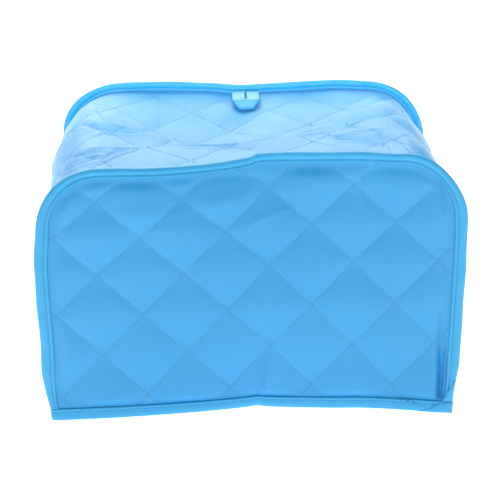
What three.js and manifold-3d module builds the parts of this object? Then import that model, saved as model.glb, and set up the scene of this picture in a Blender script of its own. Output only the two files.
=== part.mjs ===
// A quilted cloth cover for a two-slice toaster, standing empty on its hem.
// A front and a back panel with round top corners are joined by the gusset, one strip of the same
// quilted cloth that runs from the left hem, over the top and down to the right hem. The raw edges of
// each seam stand out in the plane of the panel and are wrapped in a folded tape. A third tape binds
// the hem all round, and a loop of tape is sewn into the middle of the back seam.
// Millimetres: +X is the right side seen from the front, +Y runs to the back, +Z is up.

import * as THREE from 'three';
import { mergeVertices } from 'three/addons/utils/BufferGeometryUtils.js';
import Module from 'manifold-3d';

const manifold = await Module();
manifold.setup();

// Driving dimensions
const panelWidth = 290; // across the bound edges
const panelHeight = 196; // floor to the top of the bound edge, at mid-width
const coverDepth = 178; // front of the front binding to the back of the back one
const outerCornerRadius = 45;
const bindingWidth = 9;
const bindingWidthAtHem = 5.4; // the seam's edges are folded narrower where the hem tape holds them
const bindingWidthOnTop = 6.5; // and are cut closer over the top
const hemHeight = 10;

// Cloth and tape
const gap = 0.3; // between touching pieces
const tapeThickness = 0.8;
const edgeThickness = 1.2; // quilted cloth pressed flat inside a tape
const stitchThickness = 1.8; // along a quilting line
const mergeTolerance = 0.003; // slivers under this are merged where two solids are joined
const puffThickness = 3.8; // in the middle of a diamond
const puffRoundness = 0.6; // exponent of the puff's section, less is fuller

// Quilting: crossed lines of stitches leave diamonds, given by their diagonals
// The easing draws the lines closer together further up.
const frontQuilt = {
  cells: 6,
  acrossPitch: 57.4,
  upPitch: 67,
  easing: 3.9,
  originX: 11.1,
  originZ: 54.7,
  tiltDegrees: 0.7,
};
const backQuilt = {
  cells: 4,
  acrossPitch: 57.8,
  upPitch: 59,
  easing: 0,
  originX: -14,
  originZ: 60,
  tiltDegrees: -0.8,
};
const gussetCells = 6; // per diamond
const gussetCellsAlong = 66;
const gussetCellsAcross = 18;
const gussetQuiltShift = { along: -1, fromBack: 1 }; // cells from the top's centre and the back seam

// Seam line: the inner edge of the binding
const seamHalfWidth = panelWidth / 2 - bindingWidth;
const seamTop = panelHeight - bindingWidthOnTop;
const seamRadius = outerCornerRadius - bindingWidth;
const legLength = seamTop - seamRadius;
const archLength = (Math.PI / 2) * seamRadius;
const topLength = 2 * (seamHalfWidth - seamRadius);
const seamLength = 2 * legLength + 2 * archLength + topLength;

// Layers inside a seam binding, as distances in front of the panel's mid-plane
const tapeFront = edgeThickness / 2 + gap + tapeThickness;
const lipFront = edgeThickness / 2 + gap;
const gussetEdgeLayer = -(edgeThickness + gap);
const lipBack = gussetEdgeLayer - edgeThickness / 2 - gap;
const tapeBack = lipBack - tapeThickness;
const panelPlane = coverDepth / 2 - tapeFront;
const gussetInset = gap + edgeThickness / 2 + 0.4; // the gusset's mid-surface below the seam line
const gussetSpan = 2 * (panelPlane + gussetEdgeLayer);
const besideSeam = 3; // flat strip beside each seam before the gusset's quilting starts

// How the cloth stands: the front's upper edge steps up at the old packing crease at mid-width
const frontCrown = [
  { x: -145, rise: -4 },
  { x: -100, rise: -5 },
  { x: -60, rise: -5 },
  { x: -19, rise: -2.5 },
  { x: 0, rise: 1.3 },
  { x: 20, rise: 3 },
  { x: 64, rise: 3.5 },
  { x: 95, rise: 2.2 },
  { x: 145, rise: 1 },
];
// and its hem is pushed inwards, most along that crease
const frontHem = [
  { x: -142, inward: 1 },
  { x: -98, inward: 3 },
  { x: -45, inward: 8 },
  { x: -21, inward: 11.3 },
  { x: 1, inward: 14 },
  { x: 24, inward: 12.5 },
  { x: 55, inward: 10.3 },
  { x: 80, inward: 9.2 },
  { x: 112, inward: 4.5 },
  { x: 128, inward: 1.2 },
  { x: 142, inward: 0 },
];
const frontHemReach = 90; // height at which that push has faded
const crownCrease = { x: -4, inward: 4, halfWidth: 40, fromHeight: 130 };
const backBow = 5; // the plain back sags inwards a little
// and how far each panel's edges are pulled sideways, by height
const frontEdges = [
  { z: 0, left: -4, right: 0 },
  { z: 28, left: -5, right: 0 },
  { z: 60, left: -3.8, right: 0 },
  { z: 97, left: -4, right: 0 },
  { z: 125, left: -3.6, right: -0.3 },
  { z: 150, left: -0.8, right: -1.2 },
  { z: 175, left: 0.8, right: -3.2 },
  { z: 200, left: 0, right: -4 },
];
const backEdges = [
  { z: 0, left: 0, right: 0 },
  { z: 90, left: 0, right: -1.5 },
  { z: 140, left: 0.5, right: -3 },
  { z: 175, left: -1.5, right: -6.3 },
  { z: 200, left: -2, right: -7 },
];
// The back's upper edge is uneven too, and lowest at the loop
const backCrown = [
  { x: -145, rise: 0 },
  { x: -114, rise: 0.8 },
  { x: -90, rise: 2.1 },
  { x: -60, rise: 2.1 },
  { x: -31, rise: 1.2 },
  { x: -8, rise: -0.8 },
  { x: 15, rise: -0.2 },
  { x: 45, rise: 0.8 },
  { x: 70, rise: 1.6 },
  { x: 94, rise: 0.3 },
  { x: 120, rise: -0.7 },
  { x: 145, rise: -0.5 },
];

// Folds of the gusset's top. Each drops away behind a crest, placed by x from mid-width and y from
// mid-depth. The wide one runs back to the back seam, the other fades over its reach.
const topFolds = [
  {
    name: 'dish below the loop',
    stepWidth: 9,
    reach: Infinity,
    crest: [
      { x: -118, y: 65, drop: 0 },
      { x: -107, y: 20, drop: 3 },
      { x: -90, y: 5, drop: 6.5 },
      { x: -76, y: -3, drop: 9 },
      { x: -60, y: -14, drop: 11 },
      { x: -47, y: -27, drop: 12.5 },
      { x: -25, y: -27, drop: 13 },
      { x: 3, y: -33, drop: 12 },
      { x: 21, y: -25, drop: 11 },
      { x: 45, y: -10, drop: 9.5 },
      { x: 64, y: 12, drop: 8 },
      { x: 78, y: 22, drop: 6.5 },
      { x: 98, y: 41, drop: 4 },
      { x: 124, y: 80, drop: 0 },
    ],
  },
  {
    name: 'bulge behind the front seam',
    stepWidth: 9,
    reach: 34,
    crest: [
      { x: -120, y: -38, drop: 0 },
      { x: -109, y: -38, drop: 1 },
      { x: -80, y: -32, drop: 3 },
      { x: -46, y: -35, drop: 3 },
      { x: -20, y: -39, drop: 3 },
      { x: -1, y: -55, drop: 4 },
      { x: 22, y: -72, drop: 5 },
      { x: 60, y: -64, drop: 3 },
      { x: 120, y: -66, drop: 0 },
    ],
  },
];
const topHollow = 1;
// The sides stand out most at the shoulders, nearer the back than the front. The length is measured
// along the cloth from the hem.
const sideBow = [
  { length: 0, left: -2.5, right: -2.5 },
  { length: 60, left: -4, right: -4 },
  { length: 110, left: 3, right: 0 },
  { length: 145, left: 8.5, right: 4.5 },
  { length: 180, left: 6.5, right: 0.8 },
  { length: 215, left: 2, right: 0 },
  { length: 245, left: -topHollow, right: -topHollow },
];
const sideBowSkew = 0.7; // 1 has the bow at mid-depth, less moves it to the back

// Loop for hanging: two runs of tape side by side, folded across at the tip
const loop = {
  x: -1,
  tapeWidth: 10.4,
  slit: 1.2,
  legLength: 24,
  tipLength: 11,
  tipWidth: 10.5,
  tipDroopDegrees: 20,
  legThickness: 1.4,
  tipThickness: 1.6,
  height: 0.8, // of its mid-surface above the seam line
};

const clothColour = 0x4db4ef;
const tapeColour = 0x4bbdf5;

const smoothstep = (edge0, edge1, v) => THREE.MathUtils.smoothstep(v, edge0, edge1);

// Value of one column of a table at a place given in its key column, on a smooth curve through its rows
function along(rows, key, column, at) {
  const last = rows.length - 1;
  if (at <= rows[0][key]) return rows[0][column];
  if (at >= rows[last][key]) return rows[last][column];
  const k = rows.findIndex((row) => row[key] > at) - 1;
  const slopeAt = (i) => {
    const a = rows[Math.max(i - 1, 0)];
    const b = rows[Math.min(i + 1, last)];
    return (b[column] - a[column]) / (b[key] - a[key]);
  };
  const width = rows[k + 1][key] - rows[k][key];
  const u = (at - rows[k][key]) / width;
  const v = 1 - u;
  return (
    rows[k][column] * v * v * (1 + 2 * u) +
    rows[k + 1][column] * u * u * (1 + 2 * v) +
    slopeAt(k) * width * u * v * v -
    slopeAt(k + 1) * width * u * u * v
  );
}

// The seam line in the panel's plane, and the direction outwards, at a length s from the left hem
function seamAt(s) {
  const centreX = seamHalfWidth - seamRadius;
  if (s < legLength) return { x: -seamHalfWidth, z: s, nx: -1, nz: 0 };
  if (s > seamLength - legLength) return { x: seamHalfWidth, z: seamLength - s, nx: 1, nz: 0 };
  const fromLeg = s - legLength;
  const toLeg = seamLength - legLength - s;
  const overTop = fromLeg >= archLength && toLeg >= archLength;
  if (overTop) return { x: fromLeg - archLength - centreX, z: seamTop, nx: 0, nz: 1 };
  const side = fromLeg < archLength ? -1 : 1;
  const angle = (side < 0 ? fromLeg : toLeg) / seamRadius;
  const nx = side * Math.cos(angle);
  const nz = Math.sin(angle);
  return { x: side * centreX + seamRadius * nx, z: legLength + seamRadius * nz, nx, nz };
}

// A point at a distance outside the seam line
function outside(seam, distance) {
  return { x: seam.x + seam.nx * distance, z: seam.z + seam.nz * distance };
}

// Stations along the seam shared by the gusset, the bindings and the panels' edges. The second and
// the last but one stand just above the hem tape.
const bindingFoot = hemHeight + gap;
const seamStations = [0];
for (let i = 1; i < gussetCellsAlong; i++) {
  const s = (seamLength * i) / gussetCellsAlong;
  seamStations.push(THREE.MathUtils.clamp(s, bindingFoot, seamLength - bindingFoot));
}
seamStations.push(seamLength);

// Width of the bound edge at a height above the floor
function edgeWidth(z) {
  const fullFrom = 40;
  const fullTo = 150;
  const share = THREE.MathUtils.clamp((z - hemHeight) / (fullFrom - hemHeight), 0, 1);
  const atSide = THREE.MathUtils.lerp(bindingWidthAtHem, bindingWidth, share);
  return atSide + (bindingWidthOnTop - bindingWidth) * smoothstep(fullTo, seamTop, z);
}

// From flat panel to standing panel
function pulledSideways(x, z, edges) {
  const edge = along(edges, 'z', x < 0 ? 'left' : 'right', z);
  return x + edge * (x / (panelWidth / 2)) ** 2;
}

function frontPoint(x, z, out) {
  const faded = Math.max(0, 1 - z / frontHemReach) ** 1.5;
  const crease = Math.exp(-(((x - crownCrease.x) / crownCrease.halfWidth) ** 2));
  const upCrown = Math.max(0, z - crownCrease.fromHeight) / (panelHeight - crownCrease.fromHeight);
  const inward = along(frontHem, 'x', 'inward', x) * faded + crownCrease.inward * crease * upCrown ** 2;
  const rise = along(frontCrown, 'x', 'rise', x) * (z / panelHeight);
  return new THREE.Vector3(pulledSideways(x, z, frontEdges), -panelPlane + inward - out, z + rise);
}

function backPoint(x, z, out) {
  const across = (1 - (x / (panelWidth / 2)) ** 2) ** 2;
  const upwards = Math.sin((Math.PI * z) / panelHeight);
  const rise = along(backCrown, 'x', 'rise', x) * (z / panelHeight);
  const inward = backBow * across * (0.3 + 0.7 * upwards);
  return new THREE.Vector3(pulledSideways(x, z, backEdges), panelPlane - inward + out, z + rise);
}

// How far the gusset lies inside the straight line from seam to seam
function gussetDrop(s, fromFront) {
  const fromTopCentre = s - seamLength / 2;
  const fromBackShare = THREE.MathUtils.clamp(
    (gussetSpan - besideSeam - fromFront) / (gussetSpan - 2 * besideSeam),
    0,
    1,
  );
  const y = fromFront - gussetSpan / 2;
  let drop = 0;
  for (const fold of topFolds) {
    const crestY = along(fold.crest, 'x', 'y', fromTopCentre);
    const behind = y - crestY;
    const room = Math.min(fold.reach, gussetSpan / 2 - crestY);
    const step = smoothstep(0, fold.stepWidth, behind);
    const fade = THREE.MathUtils.clamp(1 - behind / room, 0, 1);
    drop += along(fold.crest, 'x', 'drop', fromTopCentre) * step * fade;
  }
  const fromHem = seamLength / 2 - Math.abs(fromTopCentre);
  const bow = Math.sin(Math.PI * fromBackShare ** sideBowSkew);
  return drop - bow * along(sideBow, 'length', fromTopCentre < 0 ? 'left' : 'right', fromHem);
}

// The gusset's mid-surface, at a distance back from its front fold. Off is how far outside it.
function gussetPoint(s, fromFront, off) {
  const seam = seamAt(s);
  const edge = outside(seam, -gussetInset);
  const front = frontPoint(edge.x, edge.z, gussetEdgeLayer);
  const back = backPoint(edge.x, edge.z, gussetEdgeLayer);
  const point = front.lerp(back, fromFront / gussetSpan);
  const outwards = off - gussetDrop(s, fromFront);
  return point.add(new THREE.Vector3(seam.nx, 0, seam.nz).multiplyScalar(outwards));
}

// Fullness of the quilting, 0 on a stitch line and 1 in the middle of a diamond, at a place given in
// diamonds
function puff(across, up) {
  const a = across + up;
  const b = across - up;
  return Math.abs(Math.sin(Math.PI * a) * Math.sin(Math.PI * b)) ** puffRoundness;
}

// A closed geometry from points and triangles, turned so that its faces look outwards
function geometryOf(points, triangles) {
  const volumeUnder = ([a, b, c]) => points[a].dot(points[b].clone().cross(points[c]));
  const inside = triangles.reduce((sum, triangle) => sum + volumeUnder(triangle), 0) < 0;
  const turned = inside ? triangles.map(([a, b, c]) => [c, b, a]) : triangles;
  const geometry = new THREE.BufferGeometry();
  geometry.setAttribute('position', new THREE.Float32BufferAttribute(points.flatMap((p) => p.toArray()), 3));
  geometry.setIndex(turned.flat());
  return geometry;
}

// A closed sheet on a grid: one point for each side of the cloth at column i and row j. Each cell is
// split along the stitch line that crosses it.
function gridSheet(columns, rows, pointOn, risingDiagonal) {
  const points = [];
  for (const side of [1, -1]) {
    for (let j = 0; j <= rows; j++) {
      for (let i = 0; i <= columns; i++) points.push(pointOn(i, j, side));
    }
  }
  const layer = (columns + 1) * (rows + 1);
  const at = (i, j, side) => j * (columns + 1) + i + (side > 0 ? 0 : layer);
  const faces = [];
  const quad = (a, b, c, d) => faces.push([a, b, c], [a, c, d]);
  for (let j = 0; j < rows; j++) {
    for (let i = 0; i < columns; i++) {
      const [p, q, r, t] = [at(i, j, 1), at(i + 1, j, 1), at(i + 1, j + 1, 1), at(i, j + 1, 1)];
      if (risingDiagonal(i, j)) {
        quad(p, q, r, t);
        quad(r + layer, q + layer, p + layer, t + layer);
      } else {
        quad(q, r, t, p);
        quad(t + layer, r + layer, q + layer, p + layer);
      }
    }
  }
  for (let i = 0; i < columns; i++) {
    quad(at(i, 0, -1), at(i + 1, 0, -1), at(i + 1, 0, 1), at(i, 0, 1));
    quad(at(i + 1, rows, -1), at(i, rows, -1), at(i, rows, 1), at(i + 1, rows, 1));
  }
  for (let j = 0; j < rows; j++) {
    quad(at(0, j + 1, -1), at(0, j, -1), at(0, j, 1), at(0, j + 1, 1));
    quad(at(columns, j, -1), at(columns, j + 1, -1), at(columns, j + 1, 1), at(columns, j, 1));
  }
  return geometryOf(points, faces);
}

// A section swept through stations, which hold its corners in the same order. It closes into a ring
// unless an outline of the section is given for the caps at its ends.
function sweep(stations, capOutline) {
  const corners = stations[0].length;
  const points = stations.flat();
  const faces = [];
  const spans = capOutline ? stations.length - 1 : stations.length;
  for (let k = 0; k < spans; k++) {
    const here = k * corners;
    const next = ((k + 1) % stations.length) * corners;
    for (let c = 0; c < corners; c++) {
      const d = (c + 1) % corners;
      faces.push([here + c, here + d, next + d], [here + c, next + d, next + c]);
    }
  }
  if (capOutline) {
    const end = (stations.length - 1) * corners;
    for (const [a, b, c] of THREE.ShapeUtils.triangulateShape(capOutline, [])) {
      faces.push([c, b, a], [end + a, end + b, end + c]);
    }
  }
  return geometryOf(points, faces);
}

function solidOf(geometry) {
  const plain = geometry.clone();
  for (const name of ['normal', 'uv']) plain.deleteAttribute(name);
  const merged = mergeVertices(plain, 1e-4);
  const mesh = new manifold.Mesh({
    numProp: 3,
    vertProperties: merged.attributes.position.array,
    triVerts: new Uint32Array(merged.index.array),
  });
  return new manifold.Manifold(mesh);
}

// Back to a geometry, with each point moved from the flat cloth to where it stands
function geometryFrom(solid, place = (x, y, z) => new THREE.Vector3(x, y, z)) {
  const mesh = solid.getMesh();
  const points = [];
  for (let i = 0; i < mesh.numVert; i++) {
    const [x, y, z] = mesh.vertProperties.subarray(i * mesh.numProp, i * mesh.numProp + 3);
    points.push(place(x, y, z));
  }
  const triangles = [];
  for (let i = 0; i < mesh.numTri; i++) triangles.push(Array.from(mesh.triVerts.subarray(3 * i, 3 * i + 3)));
  return geometryOf(points, triangles);
}

// Quilted cloth lying flat, x across and z up, wide enough to cut a panel from
function quiltedCloth(quilt) {
  const cellX = quilt.acrossPitch / quilt.cells;
  const cellZ = quilt.upPitch / quilt.cells;
  const columns = 2 * Math.ceil((seamHalfWidth + 3 * cellX) / cellX);
  const rows = 2 * Math.ceil((seamTop / 2 + 5 * cellZ) / cellZ);
  const tilt = new THREE.Matrix4().makeRotationY(THREE.MathUtils.degToRad(-quilt.tiltDegrees));
  const shift = new THREE.Vector3(quilt.originX, 0, quilt.originZ);
  const firstColumn = -Math.round(columns / 2 + quilt.originX / cellX);
  const firstRow = -Math.ceil(quilt.originZ / cellZ) - 2;
  const place = (i, j, side) => {
    const across = firstColumn + i;
    const up = firstRow + j;
    const full = stitchThickness + (puffThickness - stitchThickness) * puff(across / quilt.cells, up / quilt.cells);
    const eased = up * cellZ - quilt.easing * (up / quilt.cells) ** 2;
    return new THREE.Vector3(across * cellX, (-side * full) / 2, eased).applyMatrix4(tilt).add(shift);
  };
  const rising = (i, j) => {
    return (firstColumn + i - firstRow - j) % quilt.cells === 0;
  };
  return solidOf(gridSheet(columns, rows, place, rising));
}

// Everything inside an outline of the flat cloth, to cut with
function cutter(outline) {
  const halfThickness = puffThickness;
  const shape = new THREE.Shape(outline.map((p) => new THREE.Vector2(p.x, p.z)));
  const geometry = new THREE.ExtrudeGeometry(shape, { depth: 2 * halfThickness, bevelEnabled: false });
  geometry.translate(0, 0, -halfThickness);
  geometry.rotateX(Math.PI / 2);
  return solidOf(geometry);
}

// Stations across the hem, and the height at which the cloth starts inside the hem tape
const clothBottom = tapeThickness + gap;
const hemCells = 26;
const cornerStation = seamHalfWidth - gussetInset;
const hemStations = [-cornerStation];
for (let i = 1; i < hemCells; i++) hemStations.push(((2 * i) / hemCells - 1) * cornerStation);
hemStations.push(cornerStation);

// The panel's pressed edge, a flat band that ends inside the bindings
function panelEdge(place) {
  const bandInside = 4;
  const half = edgeThickness / 2;
  const stations = [];
  const addStation = (outer, inner) => {
    const corner = (p, out) => place(p.x, p.z, out);
    stations.push([corner(outer, -half), corner(outer, half), corner(inner, half), corner(inner, -half)]);
  };
  const clearOfCorner = (z) => Math.max(z, 12 + 0.3 * z);
  for (const s of seamStations) {
    const seam = seamAt(s);
    const outer = outside(seam, edgeWidth(seam.z) - tapeThickness - gap);
    const inner = outside(seam, -bandInside);
    addStation(
      { x: outer.x, z: Math.max(outer.z, clothBottom) },
      { x: inner.x, z: clearOfCorner(inner.z) },
    );
  }
  for (const x of [...hemStations].reverse()) {
    const innerHalf = seamHalfWidth - bandInside - 0.5;
    const innerX = THREE.MathUtils.clamp(x, -innerHalf, innerHalf);
    addStation({ x, z: clothBottom }, { x: innerX, z: clearOfCorner(0) - 0.2 });
  }
  return solidOf(sweep(stations));
}

function panel(quilt, place) {
  const flatBeside = 2.5; // pressed strip between the puffs and the binding
  const aboveHem = hemHeight + 1.3;
  const outline = seamStations
    .map((s) => outside(seamAt(s), -flatBeside))
    .filter((p) => p.z > aboveHem);
  const cornerX = seamHalfWidth - flatBeside;
  outline.unshift({ x: -cornerX, z: aboveHem });
  outline.push({ x: cornerX, z: aboveHem });
  const quilted = geometryFrom(quiltedCloth(quilt).intersect(cutter(outline)), (x, y, z) => place(x, z, -y));
  return geometryFrom(solidOf(quilted).add(panelEdge(place)).simplify(mergeTolerance));
}

function gusset() {
  // Beside the quilted rows, each side has a flat strip and one that stands up inside the binding
  const edgeRows = 2;
  const columns = gussetCellsAlong;
  const rows = gussetCellsAcross + 2 * edgeRows;
  const rowDepth = (gussetSpan - 2 * besideSeam) / gussetCellsAcross;
  const place = (i, j, side) => {
    const s = THREE.MathUtils.clamp(seamStations[i], clothBottom, seamLength - clothBottom);
    const seam = seamAt(s);
    const outwards = new THREE.Vector3(seam.nx, 0, seam.nz);
    const atFront = j <= 1;
    const atBack = j >= rows - 1;
    if (atFront || atBack) {
      const panelPoint = atFront ? frontPoint : backPoint;
      const inwards = new THREE.Vector3(0, atFront ? 1 : -1, 0);
      const standingUp = j === 0 || j === rows;
      const offset = standingUp ? edgeWidth(seam.z) - tapeThickness - gap : -gussetInset;
      const edge = outside(seam, offset);
      const point = panelPoint(edge.x, edge.z, gussetEdgeLayer);
      const direction = standingUp ? inwards : inwards.add(outwards);
      return point.addScaledVector(direction, (side * edgeThickness) / 2);
    }
    const fromFront = besideSeam + rowDepth * (j - edgeRows);
    const besideStrip = j === edgeRows || j === rows - edgeRows;
    const full = besideStrip ? 0 : puff(
      (i - columns / 2 - gussetQuiltShift.along) / gussetCells,
      (rows - edgeRows - j - gussetQuiltShift.fromBack) / gussetCells,
    );
    const aboveHem = smoothstep(hemHeight, hemHeight + 8, Math.min(s, seamLength - s));
    const thickness = THREE.MathUtils.lerp(
      edgeThickness,
      stitchThickness + (puffThickness - stitchThickness) * full,
      aboveHem,
    );
    const reach = 1;
    const ds = gussetPoint(s + reach, fromFront, 0).sub(gussetPoint(s - reach, fromFront, 0));
    const dt = gussetPoint(s, fromFront + reach, 0).sub(gussetPoint(s, fromFront - reach, 0));
    const normal = dt.cross(ds).normalize();
    if (normal.dot(outwards) < 0) normal.negate();
    const inHem = aboveHem === 0;
    return gussetPoint(s, fromFront, 0).addScaledVector(inHem ? outwards : normal, (side * thickness) / 2);
  };
  const rising = (i, j) => {
    const across = i - columns / 2 - gussetQuiltShift.along;
    const fromBack = rows - edgeRows - j - gussetQuiltShift.fromBack;
    return (across + fromBack) % gussetCells === 0;
  };
  return gridSheet(columns, rows, place, rising);
}

// The tape folded over a seam's edges, a U that opens towards the panel
function seamBinding(place) {
  const chamfer = 1.1;
  const section = (width) => [
    [width, tapeBack + chamfer],
    [width, tapeFront - chamfer],
    [width - chamfer, tapeFront],
    [0, tapeFront],
    [0, lipFront],
    [width - tapeThickness, lipFront],
    [width - tapeThickness, lipBack],
    [0, lipBack],
    [0, tapeBack],
    [width - chamfer, tapeBack],
  ];
  const swept = seamStations.slice(1, -1).map((s) => {
    const seam = seamAt(s);
    return section(edgeWidth(seam.z)).map(([offset, out]) => {
      const p = outside(seam, offset);
      return place(p.x, p.z, out);
    });
  });
  const flat = section(bindingWidth).map(([offset, out]) => new THREE.Vector2(offset, out));
  return sweep(swept, flat);
}

// The tape folded round the hem, a U that opens upwards, through the panels and the gusset's sides
function hemBinding() {
  const lipGap = edgeThickness / 2 + gap;
  const layers = [lipGap + tapeThickness, lipGap, -lipGap, -lipGap - tapeThickness];
  // corners of the U as contour (0 outermost to 3 innermost) and height
  const section = [
    [0, 0],
    [0, hemHeight],
    [1, hemHeight],
    [1, tapeThickness],
    [2, tapeThickness],
    [2, hemHeight],
    [3, hemHeight],
    [3, 0],
  ];
  const station = (at) => section.map(([contour, z]) => at(contour, z));
  const cornerX = [
    seamHalfWidth + bindingWidthAtHem,
    seamHalfWidth + bindingWidthAtHem - tapeThickness,
    cornerStation - lipGap,
    cornerStation - lipGap - tapeThickness,
  ];
  const behindEdge = [tapeBack, lipBack, lipBack - gap, lipBack - gap - tapeThickness];
  const cornerStations = (panelPoint, side) => [
    station((contour, z) => panelPoint(side * cornerX[contour], z, layers[contour])),
    station((contour, z) => panelPoint(side * cornerX[contour], z, behindEdge[contour])),
  ];
  const panelStations = (panelPoint) =>
    hemStations.map((x) =>
      station((contour, z) => {
        const inner = THREE.MathUtils.clamp(x, -cornerX[contour] + 1, cornerX[contour] - 1);
        return panelPoint(inner, z, layers[contour]);
      }),
    );
  const sideStations = (side) => {
    const stations = [];
    const rowDepth = (gussetSpan - 2 * besideSeam) / gussetCellsAcross;
    for (let j = 0; j <= gussetCellsAcross; j++) {
      const fromFront = besideSeam + rowDepth * j;
      stations.push(
        station((contour, z) => {
          const s = side < 0 ? z : seamLength - z;
          return gussetPoint(s, fromFront, layers[contour]);
        }),
      );
    }
    return stations;
  };
  const ring = [
    ...panelStations(frontPoint),
    ...cornerStations(frontPoint, 1),
    ...sideStations(1),
    ...cornerStations(backPoint, 1).reverse(),
    ...panelStations(backPoint).reverse(),
    ...cornerStations(backPoint, -1),
    ...sideStations(-1).reverse(),
    ...cornerStations(frontPoint, -1).reverse(),
  ];
  return sweep(ring);
}

// Two runs of tape and the folded tip, joined into one solid
function hangingLoop() {
  const root = backPoint(loop.x, seamTop + loop.height, tapeBack).y - gap;
  const legs = [-1, 1].map((side) => {
    const width = loop.tapeWidth - loop.slit / 2;
    const leg = new THREE.BoxGeometry(width, loop.legLength, loop.legThickness);
    return leg.translate((side * (loop.tapeWidth + loop.slit / 2)) / 2, -loop.legLength / 2, 0);
  });
  const half = loop.tapeWidth;
  const overlap = 1; // the tip starts a little way up the runs
  const tipShape = new THREE.Shape([
    new THREE.Vector2(-half, overlap),
    new THREE.Vector2(-half, -1),
    new THREE.Vector2(-loop.tipWidth / 2, -loop.tipLength),
    new THREE.Vector2(loop.tipWidth / 2, -loop.tipLength),
    new THREE.Vector2(half, -1),
    new THREE.Vector2(half, overlap),
  ]);
  const tip = new THREE.ExtrudeGeometry(tipShape, { depth: loop.tipThickness, bevelEnabled: false });
  tip.translate(0, 0, -loop.tipThickness / 2);
  tip.rotateX(THREE.MathUtils.degToRad(loop.tipDroopDegrees));
  tip.translate(0, -loop.legLength, 0);
  const [left, right, end] = [...legs, tip].map(solidOf);
  const height = seamTop + loop.height;
  return geometryFrom(left.add(right).add(end), (x, y, z) =>
    new THREE.Vector3(loop.x + x, root + y, height + z),
  );
}

function piece(name, geometry, colour, roughness) {
  const material = new THREE.MeshStandardMaterial({ color: colour, roughness, metalness: 0 });
  const mesh = new THREE.Mesh(geometry, material);
  mesh.name = name;
  return mesh;
}

const cover = new THREE.Group();
cover.name = 'toaster_cover';
cover.add(
  piece('front_panel', panel(frontQuilt, frontPoint), clothColour, 0.55),
  piece('back_panel', panel(backQuilt, backPoint), clothColour, 0.55),
  piece('gusset', gusset(), clothColour, 0.55),
  piece('front_binding', seamBinding(frontPoint), tapeColour, 0.5),
  piece('back_binding', seamBinding(backPoint), tapeColour, 0.5),
  piece('hem_binding', hemBinding(), tapeColour, 0.5),
  piece('hanging_loop', hangingLoop(), tapeColour, 0.5),
);

// The origin is under the middle of the cover, on the surface that it stands on
const bounds = new THREE.Box3().setFromObject(cover);
const middle = bounds.getCenter(new THREE.Vector3());
for (const mesh of cover.children) mesh.geometry.translate(-middle.x, -middle.y, -bounds.min.z);

export default cover;
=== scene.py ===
"""A quilted cloth cover for a two-slice toaster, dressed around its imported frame.

Lengths are millimetres in the cover's own seam frame until a mesh is made, which puts them in metres
in the row frame: +X is the right side seen from the front, +Y runs to the back and +Z is up.
"""

import math

import bmesh
import bpy
import numpy as np
from mathutils import Matrix, Vector


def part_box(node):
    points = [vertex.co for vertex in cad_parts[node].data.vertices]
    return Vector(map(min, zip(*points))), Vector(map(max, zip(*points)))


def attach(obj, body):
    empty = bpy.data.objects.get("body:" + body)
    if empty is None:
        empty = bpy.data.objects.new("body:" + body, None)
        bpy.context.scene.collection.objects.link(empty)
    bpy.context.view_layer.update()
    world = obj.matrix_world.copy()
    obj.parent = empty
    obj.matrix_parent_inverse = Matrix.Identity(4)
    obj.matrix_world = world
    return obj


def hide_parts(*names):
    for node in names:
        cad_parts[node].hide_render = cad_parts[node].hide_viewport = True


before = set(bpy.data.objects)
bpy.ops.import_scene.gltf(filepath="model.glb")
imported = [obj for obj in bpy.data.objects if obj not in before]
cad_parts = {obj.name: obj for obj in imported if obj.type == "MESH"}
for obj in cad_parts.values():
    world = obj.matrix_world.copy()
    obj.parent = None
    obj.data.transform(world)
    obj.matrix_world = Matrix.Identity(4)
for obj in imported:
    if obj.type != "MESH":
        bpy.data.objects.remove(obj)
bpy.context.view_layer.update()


# Camera
# It stands 0.94 m off, a little to the left and 24 degrees above the horizon, rolled by half a degree.
# The picture is square.
CAMERA_DISTANCE = 0.9415
CAMERA_HEIGHT_DEGREES = 24.1
CAMERA_AZIMUTH_DEGREES = -1.4
CAMERA_ROLL_DEGREES = -0.5
CAMERA_TARGET = Vector((0.0019, 0.0001, 0.0918))
SENSOR_WIDTH = 36
FOCAL_LENGTH = SENSOR_WIDTH * 1255 / 500


def direction_from(azimuth_degrees, height_degrees):
    """The direction from the cover towards a camera or a lamp."""
    azimuth = math.radians(azimuth_degrees)
    height = math.radians(height_degrees)
    return Vector(
        (
            math.sin(azimuth) * math.cos(height),
            -math.cos(azimuth) * math.cos(height),
            math.sin(height),
        )
    )


camera_data = bpy.data.cameras.new("camera")
camera_data.sensor_width = SENSOR_WIDTH
camera_data.lens = FOCAL_LENGTH
camera = bpy.data.objects.new("camera", camera_data)
bpy.context.scene.collection.objects.link(camera)
towards_camera = direction_from(CAMERA_AZIMUTH_DEGREES, CAMERA_HEIGHT_DEGREES)
turned = towards_camera.to_track_quat("Z", "Y").to_matrix().to_4x4()
rolled = turned @ Matrix.Rotation(math.radians(CAMERA_ROLL_DEGREES), 4, "Z")
camera.matrix_world = Matrix.Translation(CAMERA_TARGET + towards_camera * CAMERA_DISTANCE) @ rolled
bpy.context.scene.camera = camera


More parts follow.
